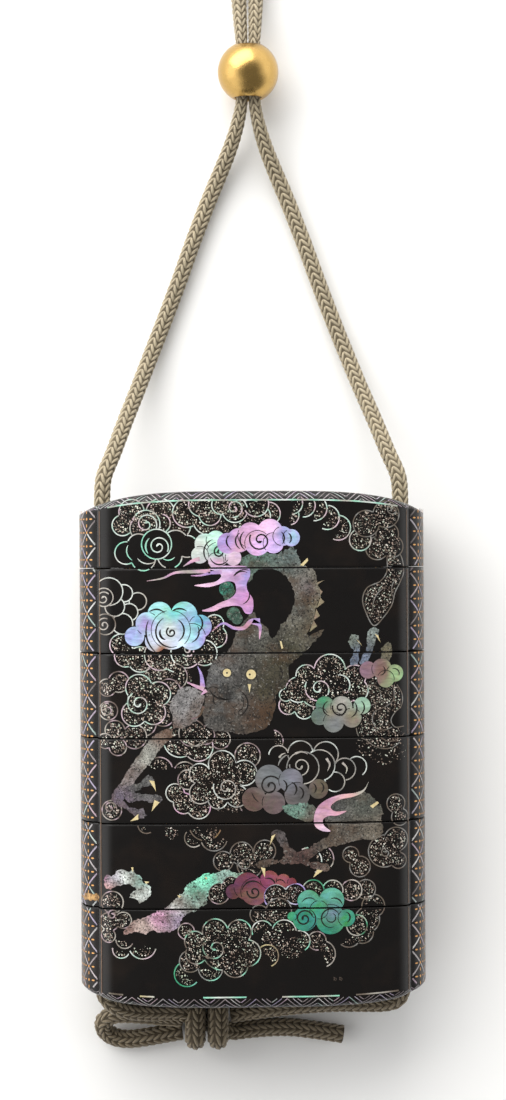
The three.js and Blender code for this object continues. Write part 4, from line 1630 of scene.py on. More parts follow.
def clouds_in_front():
    """The clouds that lie before the dragon's tail, low on the panel."""
    forms = [
        Form(
            "dust", WARM,
            [(-24.9, -26.4, 1.9), (-23.0, -29.5, 1.4), (-25.4, -29.8, 1.6), (-25.6, -32.2, 1.2)],
            spiral=(-24.9, -28.6, 0.8, 1.2, 30),
        ),
        Form("dust", COLD, [(-23.4, -34.6, 1.5, 170, 330)]),
        Form("dust", COLD, [(-19.7, -33.8, 2.4, 205, 345)]),
        Form("dust", WARM, [(-22.8, -32.9, 1.5, 180, 335)]),
        Form("dust", WARM, [(-6.4, -24.9, 1.8), (-4.3, -23.3, 1.4)]),
        Form(
            "shell",
            [
                (-4.2, -25.0, (0.09, 0.03, 0.05)), (-1.5, -22.6, (0.13, 0.03, 0.05)),
                (1.5, -23.2, (0.20, 0.035, 0.055)), (4.6, -22.6, (0.27, 0.07, 0.09)),
                (-0.2, -25.0, (0.17, 0.07, 0.065)), (6.3, -23.0, CRIMSON),
            ],
            [
                (-3.9, -24.6, 1.3), (-1.4, -23.7, 2.4), (-0.2, -24.6, 2.4), (2.4, -22.6, 1.6),
                (4.8, -22.8, 1.2), (6.3, -23.1, 0.8),
            ],
            spiral=(-0.3, -24.7, 1.1, 1.2, 170),
            arcs=[
                (-0.5, -24.7, 1.9, 40, 170, 0.28), (2.1, -23.6, 1.3, -10, 110, 0.26),
                (4.2, -23.6, 1.0, 20, 140, 0.2),
            ],
        ),
        Form(
            "dust", DIM,
            [
                (20.5, -27.4, 2.0), (19.4, -29.8, 2.2), (18.6, -32.0, 1.9, -120, 60),
                (16.2, -32.3, 2.2, -130, 0),
            ],
        ),
        Form("dust", DIM, [(19.2, -24.5, 1.7)]),
        Form("dust", WARM, [(16.7, -24.6, 1.8)]),
        Form("dust", (MINT, PEARL), [(13.4, -24.6, 1.8)]),
        Form("dust", (GREEN, PEARL), [(10.0, -24.6, 1.9)]),
        Form("dust", (WHITE, LILAC), [(3.5, -25.5, 2.1), (6.9, -25.1, 1.8)]),
        Form("dust", DIM, [(4.0, -28.0, 2.2), (0.6, -28.6, 1.6)]),
        Form("dust", (PEARL, GREEN, FAINT), [(17.6, -30.7, 1.8)]),
        Form(
            "shell",
            [
                (9.0, -25.4, (0.09, 0.34, 0.23)), (13.4, -25.2, (0.09, 0.34, 0.23)), (8.5, -29.2, TEAL),
                (6.2, -29.2, GREEN), (11, -28, GREEN), (13.2, -28.6, (0.12, 0.17, 0.24)),
                (15.9, -29.5, GREEN), (12.2, -31.6, TEAL),
            ],
            [
                (9.2, -26.4, 1.95), (13.2, -26.3, 2.2), (8.5, -29.5, 2.1), (13.0, -29.6, 2.6),
                (15.8, -29.4, 1.5), (6.3, -29.0, 0.8), (11.0, -27.9, 1.6),
            ],
            spiral=(8.4, -29.4, 1.4, 1.5, 20),
            arcs=[
                (9.3, -27.3, 1.5, 45, 150, 0.2), (13.6, -27.4, 1.5, 10, 110, 0.26),
                (13.0, -29.4, 1.6, 20, 290, 0.24), (13.1, -29.3, 0.8, 180, 430, 0.2),
                (15.4, -29.3, 1.0, -60, 70, 0.28), (8.5, -29.5, 1.9, -70, 60, 0.22),
            ],
        ),
        Form("dust", WARM, [(11.5, -35.6, 2.3, -70, 120), (10.6, -33.3, 1.6)]),
        Form("powder", WARM, [(3.0, -33.6, 2.6), (6.2, -34.6, 2.2)], spread=0.4),
        Form(
            "dust", (WHITE, PEARL, MINT),
            [(1.1, -31.5, 1.8, 30, 200), (4.9, -31.7, 2.1, 5, 165), (7.6, -33.3, 1.8, -60, 100)],
        ),
        Form("dust", (MINT, FAINT, CREAM), [(2.0, -35.8, 1.9, -70, 140)]),
        Form("dust", (GREEN, MINT), [(-12.0, -38.8, 2.2, 120, 320)]),
        Form("dust", WARM, [(-12.1, -31.4, 1.4)]),
        Form("dust", (MINT, SILVER, FAINT), [(-11.4, -36.6, 1.9, 90, 330), (-7.9, -37.9, 2.1, 170, 350)]),
        Form(
            "dust", (FAINT, MINT, PEARL, FAINT),
            [
                (-7.1, -31.5, 2.2), (-2.9, -31.6, 2.1), (-1.5, -35.3, 2.3), (-3.6, -37.3, 2.2),
                (-10.6, -33.2, 1.8), (-10.4, -35.3, 1.8), (-5.8, -34.6, 3.6),
            ],
            spiral=(-7.1, -34.4, 2.1, 1.3, 150),
        ),
    ]
    return forms


def coloured_clouds():
    """The clouds that are filled with bright shell."""
    return [
        Form(
            "shell",
            [
                (-14.5, 20.8, WHITE), (-13.6, 23.9, (0.16, 0.62, 0.50)), (-17.2, 24.0, (0.30, 0.70, 0.68)),
                (-18.6, 22.0, LILAC), (-20.9, 19.8, SKY), (-9.3, 22.4, (0.10, 0.50, 0.52)),
                (-10.4, 19.6, SKY), (-12.2, 22.0, SKY), (-16.6, 19.0, (0.62, 0.74, 0.88)),
                (-16.2, 17.6, AMBER), (-13, 18.4, (0.6, 0.72, 0.88)), (-8.0, 20.7, LILAC),
            ],
            [
                (-16.4, 23.7, 2.1), (-12.2, 23.5, 2.3), (-9.4, 21.5, 2.0), (-10.8, 19.7, 2.3),
                (-17.1, 19.0, 1.9), (-20.8, 19.8, 1.7), (-18.6, 22.0, 2.0), (-14.5, 20.9, 3.4),
            ],
            spiral=(-14.4, 20.5, 0.8, 1.2, 120),
            arcs=[
                (-14.4, 20.6, 2.7, 120, 290, 0.3), (-14.4, 20.8, 2.2, -60, 60, 0.3),
                (-14.2, 20.6, 4.6, 155, 235, 0.3), (-17.0, 22.6, 1.9, 40, 130, 0.3),
                (-13.0, 22.6, 2.0, 50, 130, 0.3), (-10.8, 22.0, 1.8, -60, 60, 0.3),
                (-15.2, 20.4, 1.2, 150, 260, 0.42), (-11.6, 20.6, 2.0, -70, 30, 0.26),
            ],
        ),
        Form(
            "shell",
            [
                (-9.2, 35.2, WHITE), (-6.3, 34.6, MINT), (-6.8, 36.6, (0.5, 0.85, 0.7)), (-6.4, 32.8, PINK),
                (-3.5, 33.4, (0.62, 0.42, 0.58)),
            ],
            [
                (-8.5, 35.8, 1.8), (-6.6, 36.4, 1.7), (-6.2, 34.0, 2.1), (-9.4, 33.9, 1.5), (-6.6, 32.9, 1.4),
                (-3.6, 33.4, 1.4),
            ],
            spiral=(-6.0, 34.4, 0.9, 1.3, 100),
            arcs=[(-6.4, 34.4, 2.3, 110, 230, 0.26), (-6.0, 33.9, 1.7, 200, 330, 0.26)],
        ),
        Form(
            "shell",
            [
                (-4.8, 36.2, LILAC), (-2.4, 35.8, PINK), (-0.6, 37.6, PINK), (2.8, 38.4, (0.85, 0.52, 0.72)),
                (0.9, 35.4, (0.62, 0.40, 0.72)), (3.6, 36.0, (0.60, 0.36, 0.70)), (6.6, 36.8, SKY),
                (5.4, 37.4, LILAC),
            ],
            [
                (-4.6, 35.9, 1.8), (-2.6, 36.4, 2.1), (-0.6, 37.3, 2.2), (2.8, 37.9, 2.2), (0.6, 35.9, 2.2),
                (3.4, 35.9, 1.8), (5.0, 37.1, 1.7), (6.5, 36.8, 1.5),
            ],
            spiral=(1.1, 36.4, 1.8, 1.4, 150),
            arcs=[
                (-3.6, 36.2, 1.2, 120, 240, 0.24), (-1.6, 36.3, 1.6, 120, 240, 0.26),
                (-0.4, 36.4, 2.0, 130, 235, 0.28), (3.8, 36.7, 1.5, -40, 50, 0.28),
                (5.4, 36.7, 1.1, -50, 60, 0.28),
            ],
        ),
        Form(
            "shell",
            [
                (12.0, 8.2, (0.04, 0.25, 0.13)), (11.4, 6.2, (0.09, 0.13, 0.11)),
                (15.0, 7.8, (0.32, 0.29, 0.27)), (18.8, 8.0, (0.28, 0.46, 0.35)),
                (14, 4.6, (0.17, 0.18, 0.19)), (17, 5.6, (0.20, 0.16, 0.11)), (13.2, 6.6, (0.24, 0.19, 0.15)),
            ],
            [
                (12.2, 7.6, 1.6), (15.1, 7.3, 1.9), (18.7, 7.5, 1.5), (11.3, 5.7, 1.5), (13.7, 4.7, 1.8),
                (16.9, 5.4, 1.7),
            ],
            spiral=(14.9, 7.1, 1.3, 1.4, 160),
            arcs=[
                (13.2, 7.1, 1.3, 110, 260, 0.24), (16.2, 7.0, 1.6, -70, 50, 0.26),
                (17.6, 7.2, 1.5, -60, 50, 0.26),
            ],
        ),
        Form(
            "shell",
            [
                (19.7, 14.0, (0.22, 0.125, 0.18)), (22.2, 13.6, (0.19, 0.10, 0.08)),
                (24.8, 13.2, (0.28, 0.42, 0.20)),
            ],
            [(19.8, 13.7, 1.5), (22.2, 13.9, 1.75), (24.5, 13.1, 1.5), (22.9, 12.1, 1.5)],
            arcs=[(22.0, 13.6, 0.8, -100, 60, 0.2), (24.4, 13.0, 0.9, -20, 110, 0.2)],
        ),
        Form(
            "shell",
            [
                (2.5, -4.6, (0.14, 0.155, 0.16)), (6.2, -5.2, (0.16, 0.165, 0.20)),
                (-0.4, -8.9, (0.11, 0.065, 0.05)), (3.3, -9.4, (0.12, 0.085, 0.08)),
                (8.3, -7.8, (0.085, 0.08, 0.08)), (11, -6.8, (0.11, 0.08, 0.055)),
            ],
            [
                (11.0, -6.9, 1.7), (2.5, -5.1, 2.5), (6.2, -5.4, 2.1), (-0.2, -8.6, 2.1), (3.2, -9.2, 2.0),
                (7.3, -7.9, 2.2),
            ],
            spiral=(2.6, -6.3, 1.7, 1.4, 40),
            arcs=[
                (4.2, -6.4, 1.3, -60, 60, 0.3), (5.9, -6.9, 1.3, -50, 70, 0.32),
                (7.2, -7.6, 1.2, -60, 70, 0.3), (9.6, -6.8, 1.0, -50, 60, 0.26),
                (10.8, -6.7, 1.1, -50, 60, 0.26), (2.3, -6.6, 3.0, 195, 235, 0.2),
            ],
        ),
    ]


def dimmed(stops, share):
    """The same shades, darker."""
    return [(x, y, dimmer(shade, share)) for x, y, shade in stops]


def dragon():
    """A generic dragon: coil, head, limbs and tail in grey shell, with a pink mane and gold claws."""
    skin_shades = [
        (0, 34, (0.12, 0.22, 0.18)), (6, 34, (0.15, 0.20, 0.19)), (10, 28, (0.17, 0.15, 0.17)),
        (8, 24, (0.15, 0.15, 0.13)), (6, 17, OLIVE), (-6, 15, (0.17, 0.165, 0.16)),
        (-3, 10, (0.14, 0.14, 0.13)), (3, 12, (0.075, 0.065, 0.040)), (0, 5, BRONZE),
        (-3, 5, (0.11, 0.10, 0.085)), (-4.3, 9.9, (0.035, 0.032, 0.030)), (-2.8, 11.6, (0.07, 0.065, 0.06)),
        (-5.8, 7.2, (0.12, 0.12, 0.115)), (-3.0, 7.6, (0.15, 0.15, 0.145)), (-7.6, 11.6, (0.15, 0.15, 0.15)),
        (1.2, 10.2, (0.065, 0.055, 0.03)), (-1.6, 5.2, (0.085, 0.05, 0.028)),
        (2.4, 6.4, (0.085, 0.05, 0.025)), (4.6, 15.6, (0.055, 0.048, 0.026)),
        (0.6, 20.6, (0.12, 0.12, 0.105)), (11.0, 28.4, (0.24, 0.21, 0.14)), (10.9, 25.2, (0.24, 0.21, 0.14)),
        (10.0, 21.6, (0.20, 0.17, 0.11)), (10.4, 19.6, (0.11, 0.10, 0.075)),
    ]
    neck = [
        (-2.4, 32.3), (-1.6, 33.6), (1.5, 34.2), (4.0, 34.1), (6.8, 35.2), (7.6, 33.9), (8.4, 32.2),
        (10.3, 31.4), (10.9, 29.4), (11.5, 27.0), (10.7, 24.4), (10.2, 22.0), (9.2, 19.8), (12.0, 20.8),
        (9.2, 17.3), (6.1, 14.6), (5.9, 12.5), (5.0, 10.6), (3.7, 9.6), (3.6, 7.4), (3.0, 5.4), (2.1, 3.9),
        (-0.2, 3.1), (-2.4, 2.7), (-4.2, 3.2), (-6.4, 3.3), (-8.2, 3.9), (-9.0, 6.0), (-8.7, 8.6),
        (-8.4, 10.8), (-8.2, 13.2), (-7.0, 15.6), (-4.0, 18.0), (-3.1, 20.4), (-1.6, 22.6), (-0.1, 24.0),
        (0.4, 23.0), (2.2, 21.0), (3.1, 19.2), (4.6, 21.4), (6.2, 23.4), (7.1, 26.3), (6.4, 28.8),
        (4.6, 30.8), (2.2, 31.6), (0.2, 30.8), (-0.8, 29.0), (-1.3, 31.0),
    ]
    upper_arm = [
        (-12.4, 10.9), (-10.2, 10.8), (-8.8, 9.4), (-9.2, 7.4), (-10.2, 5.3), (-11.6, 4.2), (-13.4, 3.8),
        (-15.6, 3.6), (-17.0, 3.0), (-18.6, 1.4), (-20.2, -0.8), (-21.8, -3.0), (-23.2, -5.4), (-24.4, -7.0),
        (-25.0, -8.4), (-24.0, -9.4), (-22.6, -8.4), (-21.5, -6.4), (-20.0, -4.2), (-17.8, -1.8),
        (-16.2, 0.6), (-14.6, 2.0), (-14.2, 4.6), (-14.7, 7.6), (-13.8, 9.8),
    ]
    arm_shades = [
        (-12, 8, (0.26, 0.25, 0.25)), (-15.5, 2.5, (0.20, 0.13, 0.10)), (-18.5, -1, (0.33, 0.33, 0.29)),
        (-22, -4, (0.26, 0.22, 0.21)), (-24.4, -8.4, (0.15, 0.12, 0.17)),
    ]
    fingers = [
        [
            (-22.6, -6.6), (-20.2, -5.6), (-18.6, -4.3), (-17.6, -4.8), (-17.9, -6.0), (-19.4, -6.3),
            (-21.8, -7.6),
        ],
        [
            (-22.8, -7.3), (-19.8, -7.6), (-16.6, -7.9), (-16.2, -8.6), (-17.7, -9.2), (-19.2, -8.7),
            (-22.2, -8.8),
        ],
        [
            (-23.9, -8.2), (-21.4, -10.0), (-19.4, -10.3), (-19.1, -11.5), (-20.4, -11.8), (-22.0, -10.5),
            (-24.0, -9.4),
        ],
        [
            (16.6, 14.6), (17.2, 17.0), (16.3, 18.7), (16.9, 19.9), (18.1, 19.7), (18.4, 18.6), (18.3, 17.0),
            (17.9, 14.8),
        ],
        [
            (18.3, 14.8), (19.5, 17.3), (19.8, 20.4), (20.8, 21.1), (21.9, 20.4), (21.3, 19.0), (20.6, 17.4),
            (19.2, 14.4),
        ],
        [(22.2, 15.2), (22.7, 18.2), (23.7, 18.5), (24.1, 16.4), (23.4, 15.0)],
    ]
    finger_shades = [
        (-20, -6, STONE), (-23, -8, (0.13, 0.10, 0.13)), (17.5, 16, (0.16, 0.20, 0.28)),
        (17, 19, (0.22, 0.26, 0.22)), (20.6, 20, (0.22, 0.26, 0.24)), (19, 16, (0.17, 0.21, 0.30)),
        (23, 17, (0.16, 0.14, 0.08)),
    ]
    leg = [
        (13.2, -9.6), (15.1, -8.6), (17.2, -8.2), (18.8, -7.4), (20.5, -8.6), (22.2, -10.6), (22.0, -12.4),
        (22.3, -14.0), (21.6, -15.6), (18.0, -15.9), (15.1, -16.6), (12.2, -17.3), (10.2, -18.5),
        (9.2, -19.3), (11.2, -19.7), (12.7, -20.1), (12.9, -20.8), (11.8, -21.2), (10.2, -20.8), (8.6, -20.0),
        (5.4, -19.9), (3.7, -19.7), (2.1, -20.3), (0.5, -20.7), (0.0, -19.8), (1.5, -19.0), (4.6, -19.0),
        (5.0, -18.2), (4.2, -16.4), (3.5, -15.4), (2.7, -14.8), (3.3, -13.9), (4.4, -13.9), (5.3, -15.0),
        (5.8, -16.7), (6.9, -17.7), (8.7, -17.5), (10.6, -16.3), (13.0, -14.6), (12.3, -12.8), (11.9, -11.2),
    ]
    leg_shades = [
        (19, -10, (0.11, 0.12, 0.10)), (20, -14, (0.20, 0.17, 0.13)), (14, -15.5, (0.17, 0.14, 0.11)),
        (8, -19, (0.11, 0.06, 0.05)), (4.5, -15, (0.14, 0.12, 0.12)), (1, -20, (0.10, 0.07, 0.05)),
        (14, -11, STONE),
    ]
    shank = [(4.8, -10.0), (7.4, -9.4), (10.2, -9.8), (10.8, -11.6), (9.6, -12.6), (7.2, -12.0), (5.4, -11.2)]
    tail_low = [
        (-23.0, -31.9), (-21.9, -29.9), (-19.7, -29.1), (-17.7, -28.3), (-15.5, -27.2), (-13.9, -25.7),
        (-12.4, -24.4), (-11.9, -23.4), (-10.2, -22.4), (-8.6, -21.3), (-7.6, -21.5), (-5.2, -20.8),
        (-3.6, -21.4), (-1.6, -21.4), (-2.6, -22.8), (-5.1, -23.0), (-7.1, -23.6), (-8.3, -25.2),
        (-8.8, -26.8), (-10.4, -27.8), (-12.3, -28.6), (-13.2, -30.2), (-14.9, -31.5), (-16.7, -31.5),
        (-18.2, -31.3), (-19.2, -31.9), (-20.8, -31.5),
    ]
    tail_shades = [
        (-22.5, -31.2, (0.30, 0.18, 0.16)), (-19.5, -30.5, (0.62, 0.48, 0.42)),
        (-17, -29, (0.70, 0.34, 0.55)), (-13.5, -29.6, (0.32, 0.24, 0.34)), (-14, -26.6, (0.55, 0.56, 0.52)),
        (-10.5, -24, MINT), (-8.6, -22.3, (0.16, 0.70, 0.46)), (-5.5, -21.9, (0.28, 0.42, 0.36)),
        (-2.5, -21.9, (0.16, 0.24, 0.18)), (-9.6, -26.6, (0.30, 0.42, 0.36)),
    ]
    tail_end = [
        (-26.2, -22.4), (-25.6, -21.6), (-24.9, -21.9), (-24.1, -20.9), (-23.0, -20.6), (-22.2, -21.0),
        (-21.2, -20.9), (-20.6, -21.7), (-19.8, -21.9), (-19.6, -22.9), (-18.7, -23.2), (-18.1, -24.2),
        (-18.4, -25.2), (-19.0, -25.9), (-20.2, -26.5), (-20.8, -25.9), (-22.0, -25.5), (-21.6, -24.7),
        (-20.7, -24.3), (-20.9, -23.7), (-22.2, -23.2), (-23.6, -23.4), (-24.6, -23.8), (-25.6, -24.2),
        (-26.2, -23.4),
    ]
    end_shades = [
        (-26, -22.4, (0.20, 0.08, 0.14)), (-25.6, -23.8, (0.55, 0.30, 0.28)),
        (-24.6, -22.4, (0.34, 0.34, 0.38)), (-22.4, -21.9, WHITE), (-20, -22.6, (0.5, 0.85, 0.74)),
        (-19.2, -24.8, WHITE), (-21, -25.2, WHITE),
    ]
    mane = [
        (-8.1, 31.6), (-4.5, 32.0), (-0.9, 31.6), (-0.7, 30.2), (-1.3, 28.8), (-1.1, 27.6), (-0.2, 26.1),
        (-0.5, 23.7), (-1.5, 23.7), (-2.4, 24.9), (-5.3, 24.8), (-7.0, 24.1), (-9.1, 24.2), (-7.5, 24.8),
        (-5.7, 25.7), (-4.4, 26.2), (-3.2, 27.3), (-3.4, 29.0), (-4.6, 29.3), (-6.3, 28.7), (-8.1, 28.3),
        (-10.4, 28.6), (-8.3, 28.95), (-6.4, 29.4), (-5.7, 30.3), (-6.6, 31.0),
    ]
    mane_shades = [
        (-7, 31, (0.62, 0.45, 0.66)), (-1.5, 30, LILAC), (-3, 31, PINK), (-1.6, 26.5, (0.50, 0.22, 0.46)),
        (-6, 24.6, (0.60, 0.34, 0.50)), (-8, 28.6, (0.78, 0.50, 0.66)), (-1, 24, (0.45, 0.24, 0.50)),
    ]
    flame = [
        (19.8, -5.7), (19.0, -7.0), (17.6, -7.6), (14.5, -8.0), (12.2, -8.9), (10.8, -10.1), (10.2, -11.9),
        (10.4, -13.4), (11.6, -14.2), (13.1, -14.3), (11.9, -13.2), (11.8, -12.2), (12.8, -11.6),
        (14.1, -11.6), (15.9, -10.8), (13.8, -10.8), (13.1, -10.1), (13.9, -9.2), (15.1, -8.7), (17.2, -8.3),
        (19.0, -7.4),
    ]
    flame_shades = [
        (19, -6.6, PEARL), (16, -8.2, (0.62, 0.38, 0.34)), (12, -9.4, ROSE), (11, -12, (0.52, 0.29, 0.38)),
        (12.2, -14, (0.7, 0.5, 0.62)), (14, -11.3, (0.6, 0.3, 0.4)),
    ]
    patch_shades = [(-4.6, 27.6, (0.03, 0.16, 0.11)), (-3.3, 23.2, (0.06, 0.13, 0.09))]
    ribbons = [
        ([(-7.6, 31.05), (-10.5, 31.0), (-13.8, 30.8), (-15.8, 29.9), (-18.6, 29.4)], 0.72, (PEARL, PINK)),
        ([(-9.4, 33.2), (-10.6, 32.9), (-12.3, 31.9)], 0.8, (PEARL, PINK)),
        ([(-5.6, 30.9), (-7.6, 30.75), (-9.2, 30.35), (-11.0, 30.3)], 0.7, (PINK, LILAC)),
        (
            [(1.0, 22.4), (-0.6, 22.3), (-1.8, 21.2), (-3.6, 21.2), (-5.4, 22.0), (-7.4, 20.6)], 0.9,
            (LILAC, PINK, ROSE),
        ),
        ([(-0.3, 22.3), (0.9, 21.6), (0.9, 19.2)], 0.9, (LILAC, PINK)),
        ([(-9.0, 10.9), (-9.3, 13.2), (-9.9, 14.6)], 0.9, (PINK, LILAC)),
        ([(-8.8, 10.6), (-10.4, 11.2), (-11.8, 11.9)], 0.8, (PINK, PEARL)),
        ([(-8.4, 10.4), (-9.3, 9.6)], 0.7, (PINK, PEARL)),
        ([(-8.9, 7.6), (-9.6, 6.0), (-11.0, 5.4)], 0.5, (ROSE, BRONZE)),
    ]
    skin_shades = dimmed(skin_shades, 0.78)
    leg_shades = dimmed(leg_shades, 0.8)
    forms = [
        Form(
            "shell", [(7, -10.6, (0.13, 0.24, 0.19)), (10, -12, (0.12, 0.12, 0.10))], outline=shank,
            scales=True,
        ),
        Form("shell", leg_shades, outline=leg, scales=True),
        Form("shell", flame_shades, outline=flame),
        Form("shell", tail_shades, outline=tail_low, scales=True),
        Form("shell", end_shades, outline=tail_end, scales=True),
        Form("shell", arm_shades, outline=upper_arm, scales=True),
    ]
    forms += [Form("shell", finger_shades, outline=finger, scales=True) for finger in fingers]
    forms += [
        Form(
            "shell", skin_shades, outline=neck, scales=True,
            arcs=[
                (-3.5, 8.1, 2.3, -65, 65, 0.24), (-3.7, 8.2, 1.8, -60, 35, 0.14),
                (-2.4, 6.5, 0.5, 0, 359, 0.10), (-5.2, 11.7, 2.9, 205, 280, 0.30),
                (-4.8, 11.0, 2.2, 215, 290, 0.20), (-7.2, 9.7, 1.3, 40, 150, 0.16),
                (-6.0, 8.8, 1.2, 140, 250, 0.20), (2.0, 9.2, 1.5, -60, 60, 0.14),
                (2.8, 13.2, 2.0, -50, 40, 0.16), (1.4, 6.3, 1.2, -80, 20, 0.12),
                (-5.6, 16.4, 1.4, 190, 250, 0.12), (-4.6, 16.8, 2.0, 185, 240, 0.12),
                (-7.3, 14.2, 1.0, 20, 110, 0.10), (-4.8, 13.4, 0.86, 0, 359, 0.08),
                (-0.6, 13.1, 1.0, 0, 359, 0.08), (-2.9, 12.0, 0.9, 200, 340, 0.12),
                (1.2, 15.6, 2.4, 20, 90, 0.12), (4.0, 18.2, 2.0, -70, 0, 0.12),
            ],
        ),
        Form("shell", patch_shades, [(-4.8, 28.0, 1.3), (-4.2, 26.9, 1.2)], scales=True),
        Form("shell", patch_shades, [(-3.6, 23.6, 1.2), (-3.0, 22.8, 1.0)], scales=True),
        Form(
            "shell", mane_shades, outline=mane,
            arcs=[
                (-2.0, 29.4, 1.6, 60, 150, 0.2), (-1.6, 29.0, 2.3, 70, 150, 0.2),
                (-2.6, 27.0, 1.8, -70, 30, 0.2),
            ],
        ),
    ]
    forms += [Form("stroke", shades, outline=line, spread=thick) for line, thick, shades in ribbons]
    forms += [
        gold_disc(-4.8, 13.4, 0.72), gold_disc(-0.6, 13.1, 0.85),
        flat_gold((-1.2, 11.4), (-0.6, 11.4), (-0.9, 9.9)),
        flat_gold((-18.4, -5.2), (-17.5, -5.3), (-17.2, -7.1)),
        flat_gold((-17.5, -8.6), (-16.6, -9.0), (-18.0, -10.6)),
        flat_gold((-20.3, -11.0), (-20.3, -12.0), (-21.7, -12.3)),
        flat_gold((17.7, 19.1), (18.2, 18.7), (18.9, 17.8)),
        flat_gold((21.0, 20.0), (21.6, 19.7), (22.0, 18.5)),
        flat_gold((3.5, -14.7), (2.8, -15.0), (2.5, -16.6)),
        flat_gold((0.9, -20.4), (1.7, -20.6), (1.6, -22.2)),
        flat_gold((11.7, -21.1), (10.7, -20.9), (10.0, -22.3)),
        flat_gold((20.0, -10.0), (21.3, -9.2), (21.6, -9.5), (20.5, -10.4)),
        flat_gold((8.0, 32.0), (9.3, 33.3), (9.4, 32.8), (8.6, 31.9)),
        flat_gold((-21.6, -20.3), (-21.2, -20.3), (-21.3, -21.2)),
        flat_gold((-19.3, -22.7), (-18.4, -22.8), (-19.0, -23.2)),
        flat_gold((-8.9, -22.0), (-8.4, -22.1), (-8.5, -22.5)),
        flat_gold((-13.6, -25.1), (-12.9, -25.3), (-13.3, -25.6)),
        flat_gold((4.4, 18.9), (4.7, 18.8), (5.0, 17.6), (4.7, 17.5)),
    ]
    return forms


# The dark of the eyes, and the short spikes along the dragon's back.
PUPILS = [(-4.8, 13.4, 0.16), (-0.85, 13.1, 0.18)]
SPIKES = [
    [(11.2, 26.2), (11.9, 27.4), (11.3, 28.0)], [(10.9, 24.6), (12.2, 25.6), (11.5, 26.4)],
    [(10.3, 22.4), (11.4, 23.2), (10.8, 24.4)], [(9.6, 20.4), (10.9, 21.4), (10.3, 22.5)],
    [(10.6, 28.4), (12.2, 29.4), (11.0, 29.0)],
]
SPIKE_SHADE = (0.24, 0.20, 0.12)

# The bright line under the sloping band, the brown line by each ridge, and the worn place on the left ridge.
RIM_LINE_WIDTH = 0.26
RIDGE_LINE_WIDTH = 0.15
RIDGE_LINE_PLACE = 26.84
WORN_LEFT, WORN_WIDE = -29.9, 2.6
WORN_LOW, WORN_HIGH = -26.55, 1.2
WORN_RAGGED = 0.16


def front_picture():
    """Every form of the front, from back to front, with the dragon among the clouds that cross it."""
    filled = coloured_clouds()
    return [*clouds_behind(), *filled[5:], *dragon(), *filled[:5], *clouds_in_front()]


def back_picture():
    """The plainer back: a few clouds in the same manner."""
    return [
        Form(
            "dust", COLD, [(-16, 36, 2.3), (-13, 38, 2.6), (-9.6, 36.6, 2.3), (-12.6, 34.6, 2.8)],
            spiral=(-12.8, 36, 1.8),
        ),
        Form(
            "line", (WHITE, PEARL), [(14, 27, 2.6), (17.6, 25.2, 2.2), (11, 24.8, 2.3), (14.2, 24, 2.8)],
            spiral=(14.2, 25.4, 1.7),
        ),
        Form(
            "dust", WARM, [(-18, 8, 2.2), (-15, 10, 2.5), (-11.4, 8.8, 2.3), (-14.6, 6.6, 2.8)],
            spiral=(-14.6, 8, 1.8),
        ),
        Form(
            "dust", (MINT, PEARL, FAINT), [(10, -8, 2.4), (13.5, -6, 2.7), (17, -8, 2.4), (13.6, -10, 3)],
            spiral=(13.6, -8.4, 2),
        ),
        Form(
            "shell", [(-12, -22, SKY), (-9, -20, PINK), (-6, -22, MINT), (-9, -24, WHITE)],
            [(-12, -22, 2.1), (-9, -20.4, 2.4), (-6, -22, 2.1), (-9, -23.6, 2.4)], spiral=(-9, -22, 1.6),
            arcs=[(-9, -22, 2.6, 100, 220, 0.28), (-9, -22, 2.6, -60, 60, 0.28)],
        ),
        Form(
            "dust", WARM, [(12, -34, 2.4), (15, -32.4, 2.4), (18.4, -34, 2.2), (15, -35.6, 2.7)],
            spiral=(15, -34.2, 1.8),
        ),
    ]


